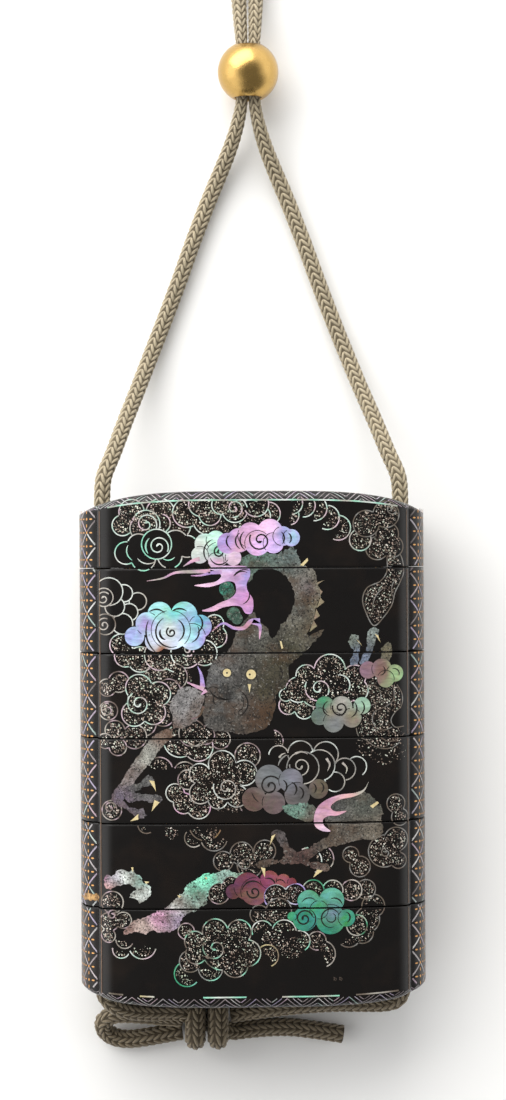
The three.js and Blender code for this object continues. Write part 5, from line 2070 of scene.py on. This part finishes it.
def shell_material(name, rough, drifting, scales=False):
    """Thin shell, satiny, with drifting hue and streaks. The dragon's is mottled and speckled."""
    material, tree, shader = new_material(name)
    place = object_place(tree)
    tint = attribute(tree, "tint", "Color")
    drift = noise(tree, place, 330, 4, 0.6, 0.8)
    turn = times_plus(tree, drift, drifting, 0.5 - drifting / 2)
    streaked = node(
        tree, "ShaderNodeMapping", {"Vector": place, "Scale": (500, 1500, 500), "Rotation": (0, 0, 0.5)},
    )
    streaks = noise(tree, streaked.outputs[0], 1.0, 4, 0.65, 0.5)
    bright = times_plus(tree, streaks, 1.5, 0.28)
    base = node(
        tree, "ShaderNodeHueSaturation", {"Color": tint, "Hue": turn, "Value": bright, "Saturation": 0.94},
    )
    base = base.outputs[0]
    height = noise(tree, place, 1500, 4, 0.6)
    if scales:
        blotches = ramp(
            tree, noise(tree, place, 300, 6, 0.7, 0.4),
            [(0.36, (0.55,) * 3), (0.52, (1,) * 3), (0.68, (1.5,) * 3)],
        )
        base = mix(tree, 1.0, base, blotches, "MULTIPLY")
        cells = {"Vector": place, "Scale": 1700.0, "Randomness": 0.9}
        apart = node(tree, "ShaderNodeTexVoronoi", cells, feature="DISTANCE_TO_EDGE").outputs["Distance"]
        grooves = ramp(tree, apart, [(0.03, (0.42,) * 3), (0.11, (1,) * 3)])
        base = mix(tree, 0.75, base, grooves, "MULTIPLY")
        brown = ramp(tree, noise(tree, place, 210, 5, 0.65), [(0.48, (0, 0, 0)), (0.66, (1, 1, 1))])
        base = mix(tree, times(tree, brown, 0.6), base, (0.075, 0.040, 0.020))
        light = ramp(tree, noise(tree, place, 2400, 3, 0.6), [(0.60, (0, 0, 0)), (0.68, (1, 1, 1))])
        base = mix(tree, times(tree, light, 0.55), base, (0.33, 0.32, 0.29))
        specks = maths(tree, "GREATER_THAN", noise(tree, place, 3100, 2, 0.5), 0.60)
        dark = times(tree, specks, 0.8)
        base = mix(tree, dark, base, (0.010, 0.009, 0.008))
        height = maths(tree, "SUBTRACT", height, dark)
    feed(tree, shader, Base_Color=base, Roughness=rough, Specular_IOR_Level=0.4)
    feed(tree, shader, Normal=bump(tree, height, 0.25, 0.00006))
    return material


def inlay_materials():
    """Materials of the picture, in the order of Inlay.MATERIALS."""
    cut, tree, shader = new_material("engraved_black")
    soot = mix(tree, noise(tree, object_place(tree), 1200, 2), (0.004, 0.004, 0.004), (0.016, 0.012, 0.010))
    feed(tree, shader, Base_Color=soot, Roughness=0.35)
    gold, tree, shader = new_material("inlaid_gold")
    place = object_place(tree)
    worn = mix(tree, noise(tree, place, 1500, 3), (0.62, 0.47, 0.20), (0.95, 0.83, 0.50))
    feed(tree, shader, Base_Color=worn, Roughness=0.42, Metallic=0.35)
    line = shell_material("shell_line", 0.35, 0.10)
    sheet = shell_material("shell_sheet", 0.30, 0.30)
    scales = shell_material("shell_scales", 0.38, 0.05, True)
    return [line, sheet, scales, cut, gold]


class INRO_OT_picture(Operator):
    """Lay the picture: clouds, dragon, engraving and gold on the front, and a few clouds on the back"""

    bl_idname = "inro.picture"
    bl_label = "Inlaid picture"

    def execute(self, context):
        materials = inlay_materials()
        front, back = Inlay(1), Inlay(-1)
        front.draw(front_picture())
        for x, y, radius in PUPILS:
            front.piece(round_spots(x, y, radius, circle_angles(10)), "pupil", "cut", STONE)
        for corners in SPIKES:
            front.piece(np.array(corners), "sheet", "sheet", SPIKE_SHADE)
        back.draw(back_picture())
        for inlay in (front, back):
            self.rim_line(inlay)
            self.ridge_lines(inlay)
        self.marks(front)
        self.worn_edge()
        front.finish("inlay_front", materials)
        back.finish("inlay_back", materials)
        return {"FINISHED"}

    def rim_line(self, inlay):
        """The thin bright line under the sloping band, whole along the top and broken along the foot."""
        rise = mm("tier", "shoulder_rise")
        top = crowned(CROWN - rise + 0.22, mm("tier", "lid_edge_crown") + 0.25)
        low = crowned(FOOT + rise + 0.24, -mm("tier", "foot_edge_crown"))
        stretches = [
            (top, -25.4, 25.4, (WHITE, MINT, PEARL)), (low, -20.2, -17.6, (WHITE, CREAM)),
            (low, -9.2, -1.2, (MINT, WHITE)), (low, 4.5, 15.0, (PEARL, MINT)),
            (low, -25.6, -22.6, (FAINT, PEARL)), (low, 17.4, 25.0, (FAINT, PEARL)),
        ]
        for height, start, end, shades in stretches:
            x = np.arange(start, end, 0.5)
            inlay.ribbon(
                np.column_stack([x, [height(value) for value in x]]), RIM_LINE_WIDTH, "cut", "line", shades,
            )

    def ridge_lines(self, inlay):
        """The thin brown line between a panel and the ridge on each side of it."""
        y = np.arange(PANEL_BOTTOM + 1.2, PANEL_TOP - 1.2, 0.8)
        for side in (-1, 1):
            line = np.column_stack([np.full(len(y), side * RIDGE_LINE_PLACE), y])
            inlay.ribbon(line, RIDGE_LINE_WIDTH, "line", "line", BROWN)

    def marks(self, inlay):
        """Two small groups of faint strokes low on the right."""
        for group in (13.5, 14.5):
            for i, lean in enumerate((0.10, -0.05, 0.14)):
                x, y = group + 0.16 * i, -39.9 - 0.06 * i
                line = np.array([(x, y - 0.3), (x + lean, y), (x, y + 0.26)])
                inlay.ribbon(line, 0.09, "line", "line", dimmer(FAINT, 0.7))

    def worn_edge(self):
        """The worn place on the left ridge by the lowest joint, where golden brown shows."""
        material, tree, shader = new_material("worn_edge")
        rub = noise(tree, object_place(tree), 1400, 4, 0.7)
        shade = ramp(tree, rub, [(0.35, (0.10, 0.045, 0.015)), (0.62, (0.50, 0.29, 0.10))])
        feed(tree, shader, Base_Color=shade, Roughness=0.55)
        chance = random.Random(4)
        columns, rows = 13, 5
        spots, faces = [], []
        for row in range(rows):
            for column in range(columns):
                x = WORN_LEFT + WORN_WIDE * column / (columns - 1)
                y = WORN_LOW + WORN_HIGH * row / (rows - 1)
                on_edge = row in (0, rows - 1) or column in (0, columns - 1)
                ragged = WORN_RAGGED if on_edge else 0.0
                spots.append((x + chance.uniform(-ragged, ragged), y + chance.uniform(-ragged, ragged)))
                if row < rows - 1 and column < columns - 1:
                    low = row * columns + column
                    faces.append((low, low + 1, low + columns + 1, low + columns))
        placed = spots_on_panel(np.array(spots), 0.05, 1)
        settle(new_object("worn_edge_case_4", placed, faces, (material,)), "lacquer")


def dust_tree():
    """A tree that scatters flakes of shell over a surface, as densely as its attribute says."""
    tree, given = geometry_tree("dust", Density="Float", Size="Float", Seed="Int", Dust="Material")
    thick = geo(tree, "InputNamedAttribute", {"Name": "dust"}, data_type="FLOAT")
    rate = times(tree, thick, given["Density"])
    strewn = {"Mesh": given["Geometry"], "Density": rate, "Seed": given["Seed"]}
    points = node(tree, "GeometryNodeDistributePointsOnFaces", strewn)
    flake = geo(tree, "MeshCircle", {"Vertices": 5, "Radius": 1.0}, fill_type="NGON")
    swollen = times_plus(tree, maths(tree, "POWER", luck(tree, given["Seed"]), 2.4), 1.5, 0.62)
    turned = {"Rotation": points.outputs["Rotation"], "Rotate By": xyz(tree, Z=luck(tree, 5, 6.28))}
    rotation = node(tree, "FunctionNodeRotateRotation", turned, rotation_space="LOCAL").outputs[0]
    laid = {"Points": points.outputs[0], "Instance": flake, "Rotation": rotation}
    flakes = geo(tree, "InstanceOnPoints", {**laid, "Scale": times(tree, swollen, given["Size"])})
    flakes = marked(tree, flakes, "shade", luck(tree, 11), domain="INSTANCE")
    flakes = clad(tree, geo(tree, "RealizeInstances", {0: flakes}), given["Dust"])
    node(tree, "NodeGroupOutput", {"Geometry": flakes})
    return tree


def dust_material():
    """Crushed shell: each flake white, pink, green or dark by chance, within the cloud's own shade."""
    material, tree, shader = new_material("shell_dust")
    place = object_place(tree)
    shade = attribute(tree, "shade")
    stops = [(0.0, (0.05, 0.035, 0.028)), (0.30, (0.24, 0.17, 0.13)), (0.50, (0.58, 0.46, 0.38)),
             (0.70, (0.82, 0.70, 0.60)), (0.84, (0.66, 0.78, 0.62)), (0.95, (1.0, 0.96, 0.86))]
    chance = ramp(tree, shade, stops)
    tint = mix(tree, 0.62, attribute(tree, "tint", "Color"), (1, 1, 1))
    base = mix(tree, 1.0, chance, tint, "MULTIPLY")
    cloudy = times_plus(tree, noise(tree, place, 2500, 2), 0.3, 0.25)
    feed(tree, shader, Base_Color=base, Roughness=cloudy, Coat_Weight=0.2)
    return material


DUST_STEP = 0.42


def dust_field(forms):
    """How thick the dust lies on a grid over the panel, and its shade. Later forms hide earlier ones."""
    x = np.arange(-PANEL_END, PANEL_END + DUST_STEP / 2, DUST_STEP)
    y = np.arange(PANEL_BOTTOM, PANEL_TOP, DUST_STEP)
    spots = np.array([(a, b) for b in y for a in x])
    thick = np.zeros(len(spots))
    tint = np.tile(np.array(PEARL, float), (len(spots), 1))
    for form in forms:
        if form.kind in ("stroke", "gold", "trace"):
            continue
        covered = np.nonzero(form.covers(spots))[0]
        if not len(covered):
            continue
        if form.kind == "powder":
            thick[covered] = np.maximum(thick[covered], form.spread)
            tint[covered] = blended(form.shades, spots[covered])
            continue
        thick[covered] = 0
        if form.kind == "dust":
            rim = np.concatenate(form.edges())
            away = np.linalg.norm(spots[covered][:, None] - rim[None], axis=2).min(axis=1)
            open_ended = any(len(lobe) > 3 for lobe in form.lobes)
            base = 0.04 if open_ended else 0.26
            glow = base + 1.25 * np.exp(-np.maximum(away - 0.2, 0) / 0.62)
            glow[away < 0.16] = 0
            thick[covered] = glow * form.spread
            tint[covered] = blended(form.shades, spots[covered])
    return x, y, spots, thick, tint


# How many flakes lie on a square metre where the dust is thickest, and their size.
DUST_DENSITY = 19.0 / MM**2
FLAKE_SIZE = 0.078 * MM


class INRO_OT_dust(Operator):
    """Scatter crushed shell inside the clouds of both panels"""

    bl_idname = "inro.dust"
    bl_label = "Shell dust"

    def execute(self, context):
        material, tree = dust_material(), dust_tree()
        for label, side, forms in (("front", 1, front_picture()), ("back", -1, back_picture())):
            x, y, spots, thick, tint = dust_field(forms)
            placed = spots_on_panel(spots, LIFTS["dust"], side)
            wide = len(x)
            for tier, name in enumerate(TIER):
                low, high = LEVELS[tier] + JOINT_CLEAR, LEVELS[tier + 1] - JOINT_CLEAR
                rows = [row for row in range(len(y) - 1) if low <= y[row] and y[row + 1] <= high]
                corners = [row * wide + column for row in rows for column in range(wide - 1)]
                faces = [[i, i + 1, i + wide + 1, i + wide] for i in corners]
                faces = [face[::side] for face in faces if thick[face].min() > 0.02]
                if not faces:
                    continue
                used = sorted({i for face in faces for i in face})
                place_of = {i: n for n, i in enumerate(used)}
                faces = [[place_of[i] for i in face] for face in faces]
                carrier = new_object(f"dust_{label}_{name}", placed[used], faces)
                carry(carrier, "dust", "FLOAT", thick[used])
                carry(carrier, "tint", "FLOAT_COLOR", tint[used])
                sizes = {"Density": DUST_DENSITY, "Size": FLAKE_SIZE}
                settle(grown(carrier, tree, **sizes, Seed=3 + tier, Dust=material), "lacquer")
        return {"FINISHED"}


# The patterned borders: a lattice on the cord ridges and chevrons on the sloping bands


# A strip's flat places are kept in tenths of a metre.
FLAT_SCALE = 10.0


def pattern_tree():
    """A tree that repeats a flat cell over a surface, cuts it at both ends and lays it on."""
    sizes = dict.fromkeys(("Wide", "High", "Left", "Bottom", "Lowest", "Highest", "Lift"), "Float")
    kinds = {"Surface": "Object", "Columns": "Int", "Rows": "Int", **sizes, "Seed": "Int"}
    tree, given = geometry_tree("pattern", **kinds, Shell="Material", Gold="Material")
    total = times(tree, given["Columns"], given["Rows"])
    cells = geo(tree, "MeshLine", {"Count": total}, mode="OFFSET")
    index = geo(tree, "InputIndex")
    column = maths(tree, "MODULO", index, given["Columns"])
    row = maths(tree, "FLOOR", over(tree, index, given["Columns"]))
    across = times_plus(tree, column, given["Wide"], given["Left"])
    up = times_plus(tree, row, given["High"], given["Bottom"])
    cells = geo(tree, "SetPosition", {"Geometry": cells, "Position": xyz(tree, X=across, Y=up)})
    flat = geo(tree, "InstanceOnPoints", {"Points": cells, "Instance": given["Geometry"]})
    flat = geo(tree, "RealizeInstances", {0: flat})
    shade = luck(tree, given["Seed"], ID=geo(tree, "InputMeshIsland"))
    flat = marked(tree, flat, "shade", shade)

    # What is past either end goes, and the rest is laid where the strip of surface has the same flat place.
    here = geo(tree, "InputPosition")
    height = node(tree, "ShaderNodeSeparateXYZ", {0: here}).outputs[1]
    low = compared(tree, height, given["Lowest"], "LESS_THAN")
    high = compared(tree, height, given["Highest"], "GREATER_THAN")
    past = node(tree, "FunctionNodeBooleanMath", {0: low, 1: high}, operation="OR").outputs[0]
    flat = geo(tree, "DeleteGeometry", {"Geometry": flat, "Selection": past}, domain="FACE")
    surface = node(tree, "GeometryNodeObjectInfo", {"Object": given["Surface"]}).outputs["Geometry"]
    flat_place = geo(tree, "InputNamedAttribute", {"Name": "flat"}, data_type="FLOAT_VECTOR")
    found = {"Mesh": surface, "UV Map": flat_place, "Sample UV": scaled(tree, here, FLAT_SCALE)}
    spot, facing = [
        node(tree, "GeometryNodeSampleUVSurface", {**found, "Value": value}, data_type="FLOAT_VECTOR").outputs
        for value in (here, geo(tree, "InputNormal"))
    ]
    raised = vector_maths(tree, "ADD", spot[0], scaled(tree, facing[0], given["Lift"]))
    missing = node(tree, "FunctionNodeBooleanMath", {0: spot[1]}, operation="NOT").outputs[0]
    placed = node(tree, "GeometryNodeCaptureAttribute", {"Geometry": flat})
    placed.capture_items.new("BOOLEAN", "missing")
    tree.links.new(missing, placed.inputs[1])
    kept = geo(tree, "SetPosition", {"Geometry": placed.outputs[0], "Position": raised})
    kept = geo(tree, "DeleteGeometry", {"Geometry": kept, "Selection": placed.outputs[1]}, domain="POINT")
    gold = geo(tree, "InputNamedAttribute", {"Name": "gold"}, data_type="FLOAT")
    gilded = compared(tree, gold, 0.5, "GREATER_THAN")
    kept = clad(tree, clad(tree, kept, given["Shell"]), given["Gold"], Selection=gilded)
    node(tree, "NodeGroupOutput", {"Geometry": kept})
    return tree


def strip(name, rings, across, up):
    """A strip of surface between rings, which knows where it lies when it is laid out flat."""
    count = len(rings[0])
    faces = []
    for level in range(len(rings) - 1):
        for i in range(count - 1):
            low = level * count + i
            faces.append((low, low + 1, low + count + 1, low + count))
    made = new_object(name, np.concatenate(rings), faces)
    scale = MM * FLAT_SCALE
    places = [(across[i] * scale, up[level] * scale, 0) for level in range(len(rings)) for i in range(count)]
    carry(made, "flat", "FLOAT_VECTOR", places)
    outward_strip(made)
    return made


def flat_cell(name, strokes, dots):
    """A cell of pattern: strips given as start, end and width, and gold dots as place and two radii."""
    vertices, faces, gold = [], [], []
    for (x1, y1), (x2, y2), width in strokes:
        ahead = np.array([x2 - x1, y2 - y1])
        size = np.linalg.norm(ahead)
        side = np.array([-ahead[1], ahead[0]]) / size * width / 2
        steps = max(2, int(size / 0.55))
        base = len(vertices)
        for i in range(steps + 1):
            spot = np.array([x1, y1]) + ahead * i / steps
            vertices += [(*(spot + side), 0), (*(spot - side), 0)]
        for i in range(steps):
            low = base + 2 * i
            faces.append((low, low + 1, low + 3, low + 2))
            gold.append(0.0)
    for x, y, rx, ry in dots:
        base = len(vertices)
        for i in range(6):
            angle = math.pi / 3 * i
            vertices.append((x + rx * math.cos(angle), y + ry * math.sin(angle), 0))
        faces.append(tuple(range(base, base + 6)))
        gold.append(1.0)
    made = new_object(name, vertices, faces)
    carry(made, "gold", "FLOAT", gold, "FACE")
    return made


def lattice_cell(half_wide, half_high):
    """Crossed strips with a gap at each crossing, gold dots and petals at the quarters."""
    strokes = []
    for column in (0, 1):
        for row in (0, 1):
            x, y = column * half_wide, row * half_high
            inset_x, inset_y = half_wide * 0.10, half_high * 0.10
            rising = (column + row) % 2 == 0
            start = (x + inset_x, y + inset_y if rising else y + half_high - inset_y)
            end = (x + half_wide - inset_x, y + half_high - inset_y if rising else y + inset_y)
            strokes.append((start, end, 0.26))
    dots = []
    for i in range(4):
        for j in range(4):
            x, y = i * half_wide / 2, j * half_high / 2
            if i % 2 == 0 and j % 2 == 0:
                dots.append((x, y, 0.26, 0.26))
            elif i % 2 == 0:
                dots.append((x, y, 0.15, 0.34))
            elif j % 2 == 0:
                dots.append((x, y, 0.34, 0.15))
    return flat_cell("lattice_cell", strokes, dots)


def chevron_cell(wide, high):
    """Nested chevrons, pointing up and down by turns, with a line along their inner edge."""
    strokes = []
    for share in (0.0, 0.36, 0.66):
        rise = high * (1 - share)
        reach = wide / 2 * (1 - share)
        middle = wide / 2
        for sign in (-1, 1):
            strokes.append(
                ((middle + sign * reach, 0.08), (middle + sign * 0.06, max(0.2, rise - 0.12)), 0.13),
            )
        if 0 < share < 0.6:
            for sign in (-1, 1):
                strokes.append(
                    ((sign * reach, high - 0.08), (sign * 0.06, min(high - 0.2, high - rise + 0.12)), 0.12),
                )
    strokes.append(((0.0, high - 0.08), (wide, high - 0.08), 0.13))
    return flat_cell("chevron_cell", strokes, [])


def border_material():
    """Shell strips of the borders, each of its own shade."""
    material, tree, shader = new_material("border_shell")
    shade = attribute(tree, "shade")
    stops = [
        (0.0, (0.11, 0.09, 0.085)), (0.22, (0.30, 0.25, 0.26)), (0.42, (0.42, 0.39, 0.39)),
        (0.6, (0.33, 0.28, 0.40)), (0.74, (0.46, 0.33, 0.37)), (0.88, (0.28, 0.38, 0.34)),
        (1.0, (0.60, 0.57, 0.56)),
    ]
    streak = times_plus(tree, noise(tree, object_place(tree), 1400, 3, 0.7), 1.1, 0.35)
    drifted = {"Color": ramp(tree, shade, stops), "Value": streak}
    base = node(tree, "ShaderNodeHueSaturation", drifted).outputs[0]
    feed(tree, shader, Base_Color=base, Roughness=0.32, Coat_Weight=0.2)
    return material


def dot_material():
    """Orange gold of the dots on the ridges."""
    material, tree, shader = new_material("dot_gold")
    worn = noise(tree, object_place(tree), 1300, 3, 0.7)
    base = mix(tree, worn, tuple(settings("colours").inlaid_gold), (0.34, 0.12, 0.04))
    feed(tree, shader, Base_Color=base, Roughness=0.38, Metallic=0.45)
    return material


def lay_pattern(name, cell, surface, tree, materials, **numbers):
    """Repeat a cell over a surface, as one finished piece, and clear the surface away."""
    host = linked(name, cell.data.copy())
    numbers |= {"Left": 0.0, "Lift": 0.03 * MM, "Shell": materials[0], "Gold": materials[1]}
    settle(grown(host, tree, Surface=surface, **numbers), "lacquer")
    bpy.data.objects.remove(surface)


LATTICE_HIGH = 4.75
CHEVRON_WIDE = 5.4
BAND_HIGH = 2.9


class INRO_OT_borders(Operator):
    """Lay the lattice on the cord ridges and the chevrons on the sloping bands"""

    bl_idname = "inro.borders"
    bl_label = "Patterned borders"

    def execute(self, context):
        tree = pattern_tree()
        materials = (border_material(), dot_material())
        self.ridges(tree, materials)
        self.bands(tree, materials)
        return {"FINISHED"}

    def ridges(self, tree, materials):
        """The lattice, which runs on from box to box."""
        plan = tier_plan()
        angles = np.linspace(math.pi / 2, -math.pi / 2, 41)
        out = np.column_stack([plan["ridge_out"] * np.cos(angles), plan["ridge"] * np.sin(angles)])
        across = np.concatenate([[0], np.cumsum(np.linalg.norm(np.diff(out, axis=0), axis=1))])
        wide = across[-1] / 4
        cell = lattice_cell(wide / 2, LATTICE_HIGH / 2)
        levels = [FOOT + BAND_HIGH, *JOINTS, CROWN - BAND_HIGH]
        for side in (-1, 1):
            for tier, name in enumerate(TIER):
                low, high = ends = levels[tier:tier + 2]
                x = side * (plan["half"] + out[:, 0])
                ups = ends[::-side]
                rings = [np.column_stack([x, np.full(len(x), y), MIDDLE + out[:, 1]]) for y in ups]
                surface = strip("ridge_surface", rings, across, ups)
                first = math.floor((low - CROWN) / LATTICE_HIGH) * LATTICE_HIGH + CROWN
                lay_pattern(
                    f"lattice_{'left' if side < 0 else 'right'}_{name}", cell, surface, tree, materials,
                    Columns=4, Rows=math.ceil((high - first) / LATTICE_HIGH), Wide=wide * MM,
                    High=LATTICE_HIGH * MM, Bottom=first * MM, Lowest=(low + 0.2) * MM,
                    Highest=(high - 0.2) * MM, Seed=20 + tier * 2 + (side > 0),
                )
        bpy.data.objects.remove(cell)

    def bands(self, tree, materials):
        """The chevrons round the lid's and the foot's sloping bands."""
        outside = outside_plan()
        middle = len(outside) // 4
        for is_lid, name in ((True, "lid"), (False, "base_case")):
            rings = [ring(outside, y, inset) for y, inset in shoulder_rings(is_lid)]
            rings = [np.concatenate([r, r[:1]]) for r in rings]
            across = np.concatenate([[0], np.cumsum(np.linalg.norm(np.diff(rings[0], axis=0), axis=1))])
            rise = [np.linalg.norm(b[middle] - a[middle]) for a, b in zip(rings, rings[1:])]
            up = np.concatenate([[0], np.cumsum(rise)])
            columns = round(across[-1] / CHEVRON_WIDE)
            wide = across[-1] / columns
            cell = chevron_cell(wide, up[-1])
            surface = strip("band_surface", rings, across, up)
            lay_pattern(
                f"chevrons_{name}", cell, surface, tree, materials, Columns=columns, Rows=1, Wide=wide * MM,
                High=up[-1] * MM, Bottom=0.0, Lowest=0.0, Highest=up[-1] * MM, Seed=60 + is_lid,
            )
            bpy.data.objects.remove(cell)


def outward_strip(made):
    """Turn a strip's faces away from the case's upright axis."""
    mesh = made.data
    mesh.update()
    total = 0.0
    for polygon in mesh.polygons:
        away = Vector((polygon.center.x, 0, polygon.center.z - MIDDLE * MM))
        total += polygon.normal.dot(away)
    if total < 0:
        mesh.flip_normals()


# The stage


def floor_material():
    """A plain pale floor."""
    material, tree, shader = new_material("pale_floor")
    soft = noise(tree, object_place(tree), 6, 2)
    shade = tuple(settings("stage").floor)
    base = mix(tree, soft, shade, dimmer(shade, 0.985))
    feed(tree, shader, Base_Color=base, Roughness=0.9)
    return material


def soft_light(name, place, aim, size, power, tint):
    """A square soft light that looks at a point."""
    lamp = bpy.data.lights.new(name, "AREA")
    lamp.shape = "RECTANGLE"
    lamp.size, lamp.size_y = size
    lamp.energy = power
    lamp.color = tint
    holder = linked(name, lamp)
    holder.location = place
    holder.rotation_euler = (Vector(aim) - Vector(place)).to_track_quat("-Z", "Y").to_euler()


class INRO_OT_stage(Operator):
    """Make the pale floor, the soft light and the camera at the photograph's angle"""

    bl_idname = "inro.stage"
    bl_label = "Stage"

    def execute(self, context):
        stage = settings("stage")
        half = 900
        corners = [(-half, -half, 0), (half, -half, 0), (half, half, 0), (-half, half, 0)]
        floor = new_object("pale_floor", corners, [(0, 1, 2, 3)], (floor_material(),))
        aim = (0, 0.02, 0)
        soft_light("key", (-0.36, 0.74, 0.52), aim, (1.3, 0.9), stage.key_power, (1.0, 0.99, 0.97))
        soft_light("left", (-0.80, 0.05, 0.30), aim, (0.5, 0.6), stage.fill_power, (0.97, 0.985, 1.0))
        context.scene.view_settings.view_transform = "Standard"
        self.surroundings(stage)
        self.camera(stage)
        return {"FINISHED"}

    def surroundings(self, stage):
        """A room that is bright low down and dark over the case, where the camera and its stand are."""
        world = bpy.data.worlds.new("surroundings")
        bpy.context.scene.world = world
        world.use_nodes = True
        tree = world.node_tree
        tree.nodes.clear()
        direction = node(tree, "ShaderNodeTexCoord").outputs["Generated"]
        above = node(
            tree, "ShaderNodeVectorMath", {0: direction, 1: (0.10, -0.12, 0.99)}, operation="DOT_PRODUCT",
        )
        beside = node(
            tree, "ShaderNodeVectorMath", {0: direction, 1: (0.30, -0.75, 0.59)}, operation="DOT_PRODUCT",
        )
        height = maths(tree, "MAXIMUM", above.outputs["Value"], beside.outputs["Value"])
        low, high = (stage.horizon,) * 3, (stage.zenith,) * 3
        sky = ramp(tree, height, [(0.0, low), (0.50, low), (0.86, high)])
        background = node(tree, "ShaderNodeBackground", {"Color": sky, "Strength": 1.0})
        node(tree, "ShaderNodeOutputWorld", {"Surface": background.outputs[0]})

    def camera(self, stage):
        """The camera looks down on the case, leaning and rolled a little, as in the photograph."""
        data = bpy.data.cameras.new("camera")
        data.sensor_fit = "VERTICAL"
        data.angle = 2 * math.atan(stage.view_height / 2 / stage.camera_height)
        holder = linked("camera", data)
        aim = Vector((stage.view_side, stage.view_centre, DEPTH * MM))
        lean = Vector((-math.sin(stage.camera_turn), 0, math.cos(stage.camera_turn)))
        holder.location = aim + lean * stage.camera_height
        right = Vector((0, 1, 0)).cross(lean)
        up = lean.cross(right)
        turned = Matrix((right, up, lean)).transposed() @ Matrix.Rotation(stage.camera_roll, 3, "Z")
        holder.rotation_euler = turned.to_euler()
        bpy.context.scene.camera = holder


class INRO_PT_maker(Panel):
    """Lists the pieces of the inro"""

    bl_idname = "INRO_PT_maker"
    bl_label = "Inro"
    bl_space_type = "VIEW_3D"
    bl_region_type = "UI"
    bl_category = "Inro"

    def draw(self, context):
        for maker in MAKERS:
            self.layout.operator(maker.bl_idname)
        for name in GROUPS:
            group = getattr(context.scene, name)
            box = self.layout.box()
            for item in group.__annotations__:
                box.prop(group, item)


GROUPS = {"tier": TierSizes, "cord": CordSizes, "colours": Colours, "stage": StageSettings}
MAKERS = [
    INRO_OT_stage, INRO_OT_boxes, INRO_OT_picture, INRO_OT_dust, INRO_OT_borders, INRO_OT_bead, INRO_OT_cords,
]
CLASSES = [*GROUPS.values(), *MAKERS, INRO_PT_maker]


def register():
    """Register the classes and put the property groups on the scene."""
    for cls in CLASSES:
        bpy.utils.register_class(cls)
    for name, group in GROUPS.items():
        setattr(bpy.types.Scene, name, PointerProperty(type=group))


def unregister():
    """Take the property groups and the classes away again."""
    for name in GROUPS:
        delattr(bpy.types.Scene, name)
    for cls in reversed(CLASSES):
        bpy.utils.unregister_class(cls)


def main():
    """Make every piece."""
    register()
    for maker in MAKERS:
        group, name = maker.bl_idname.split(".")
        getattr(getattr(bpy.ops, group), name)()


if __name__ == "__main__":
    main()
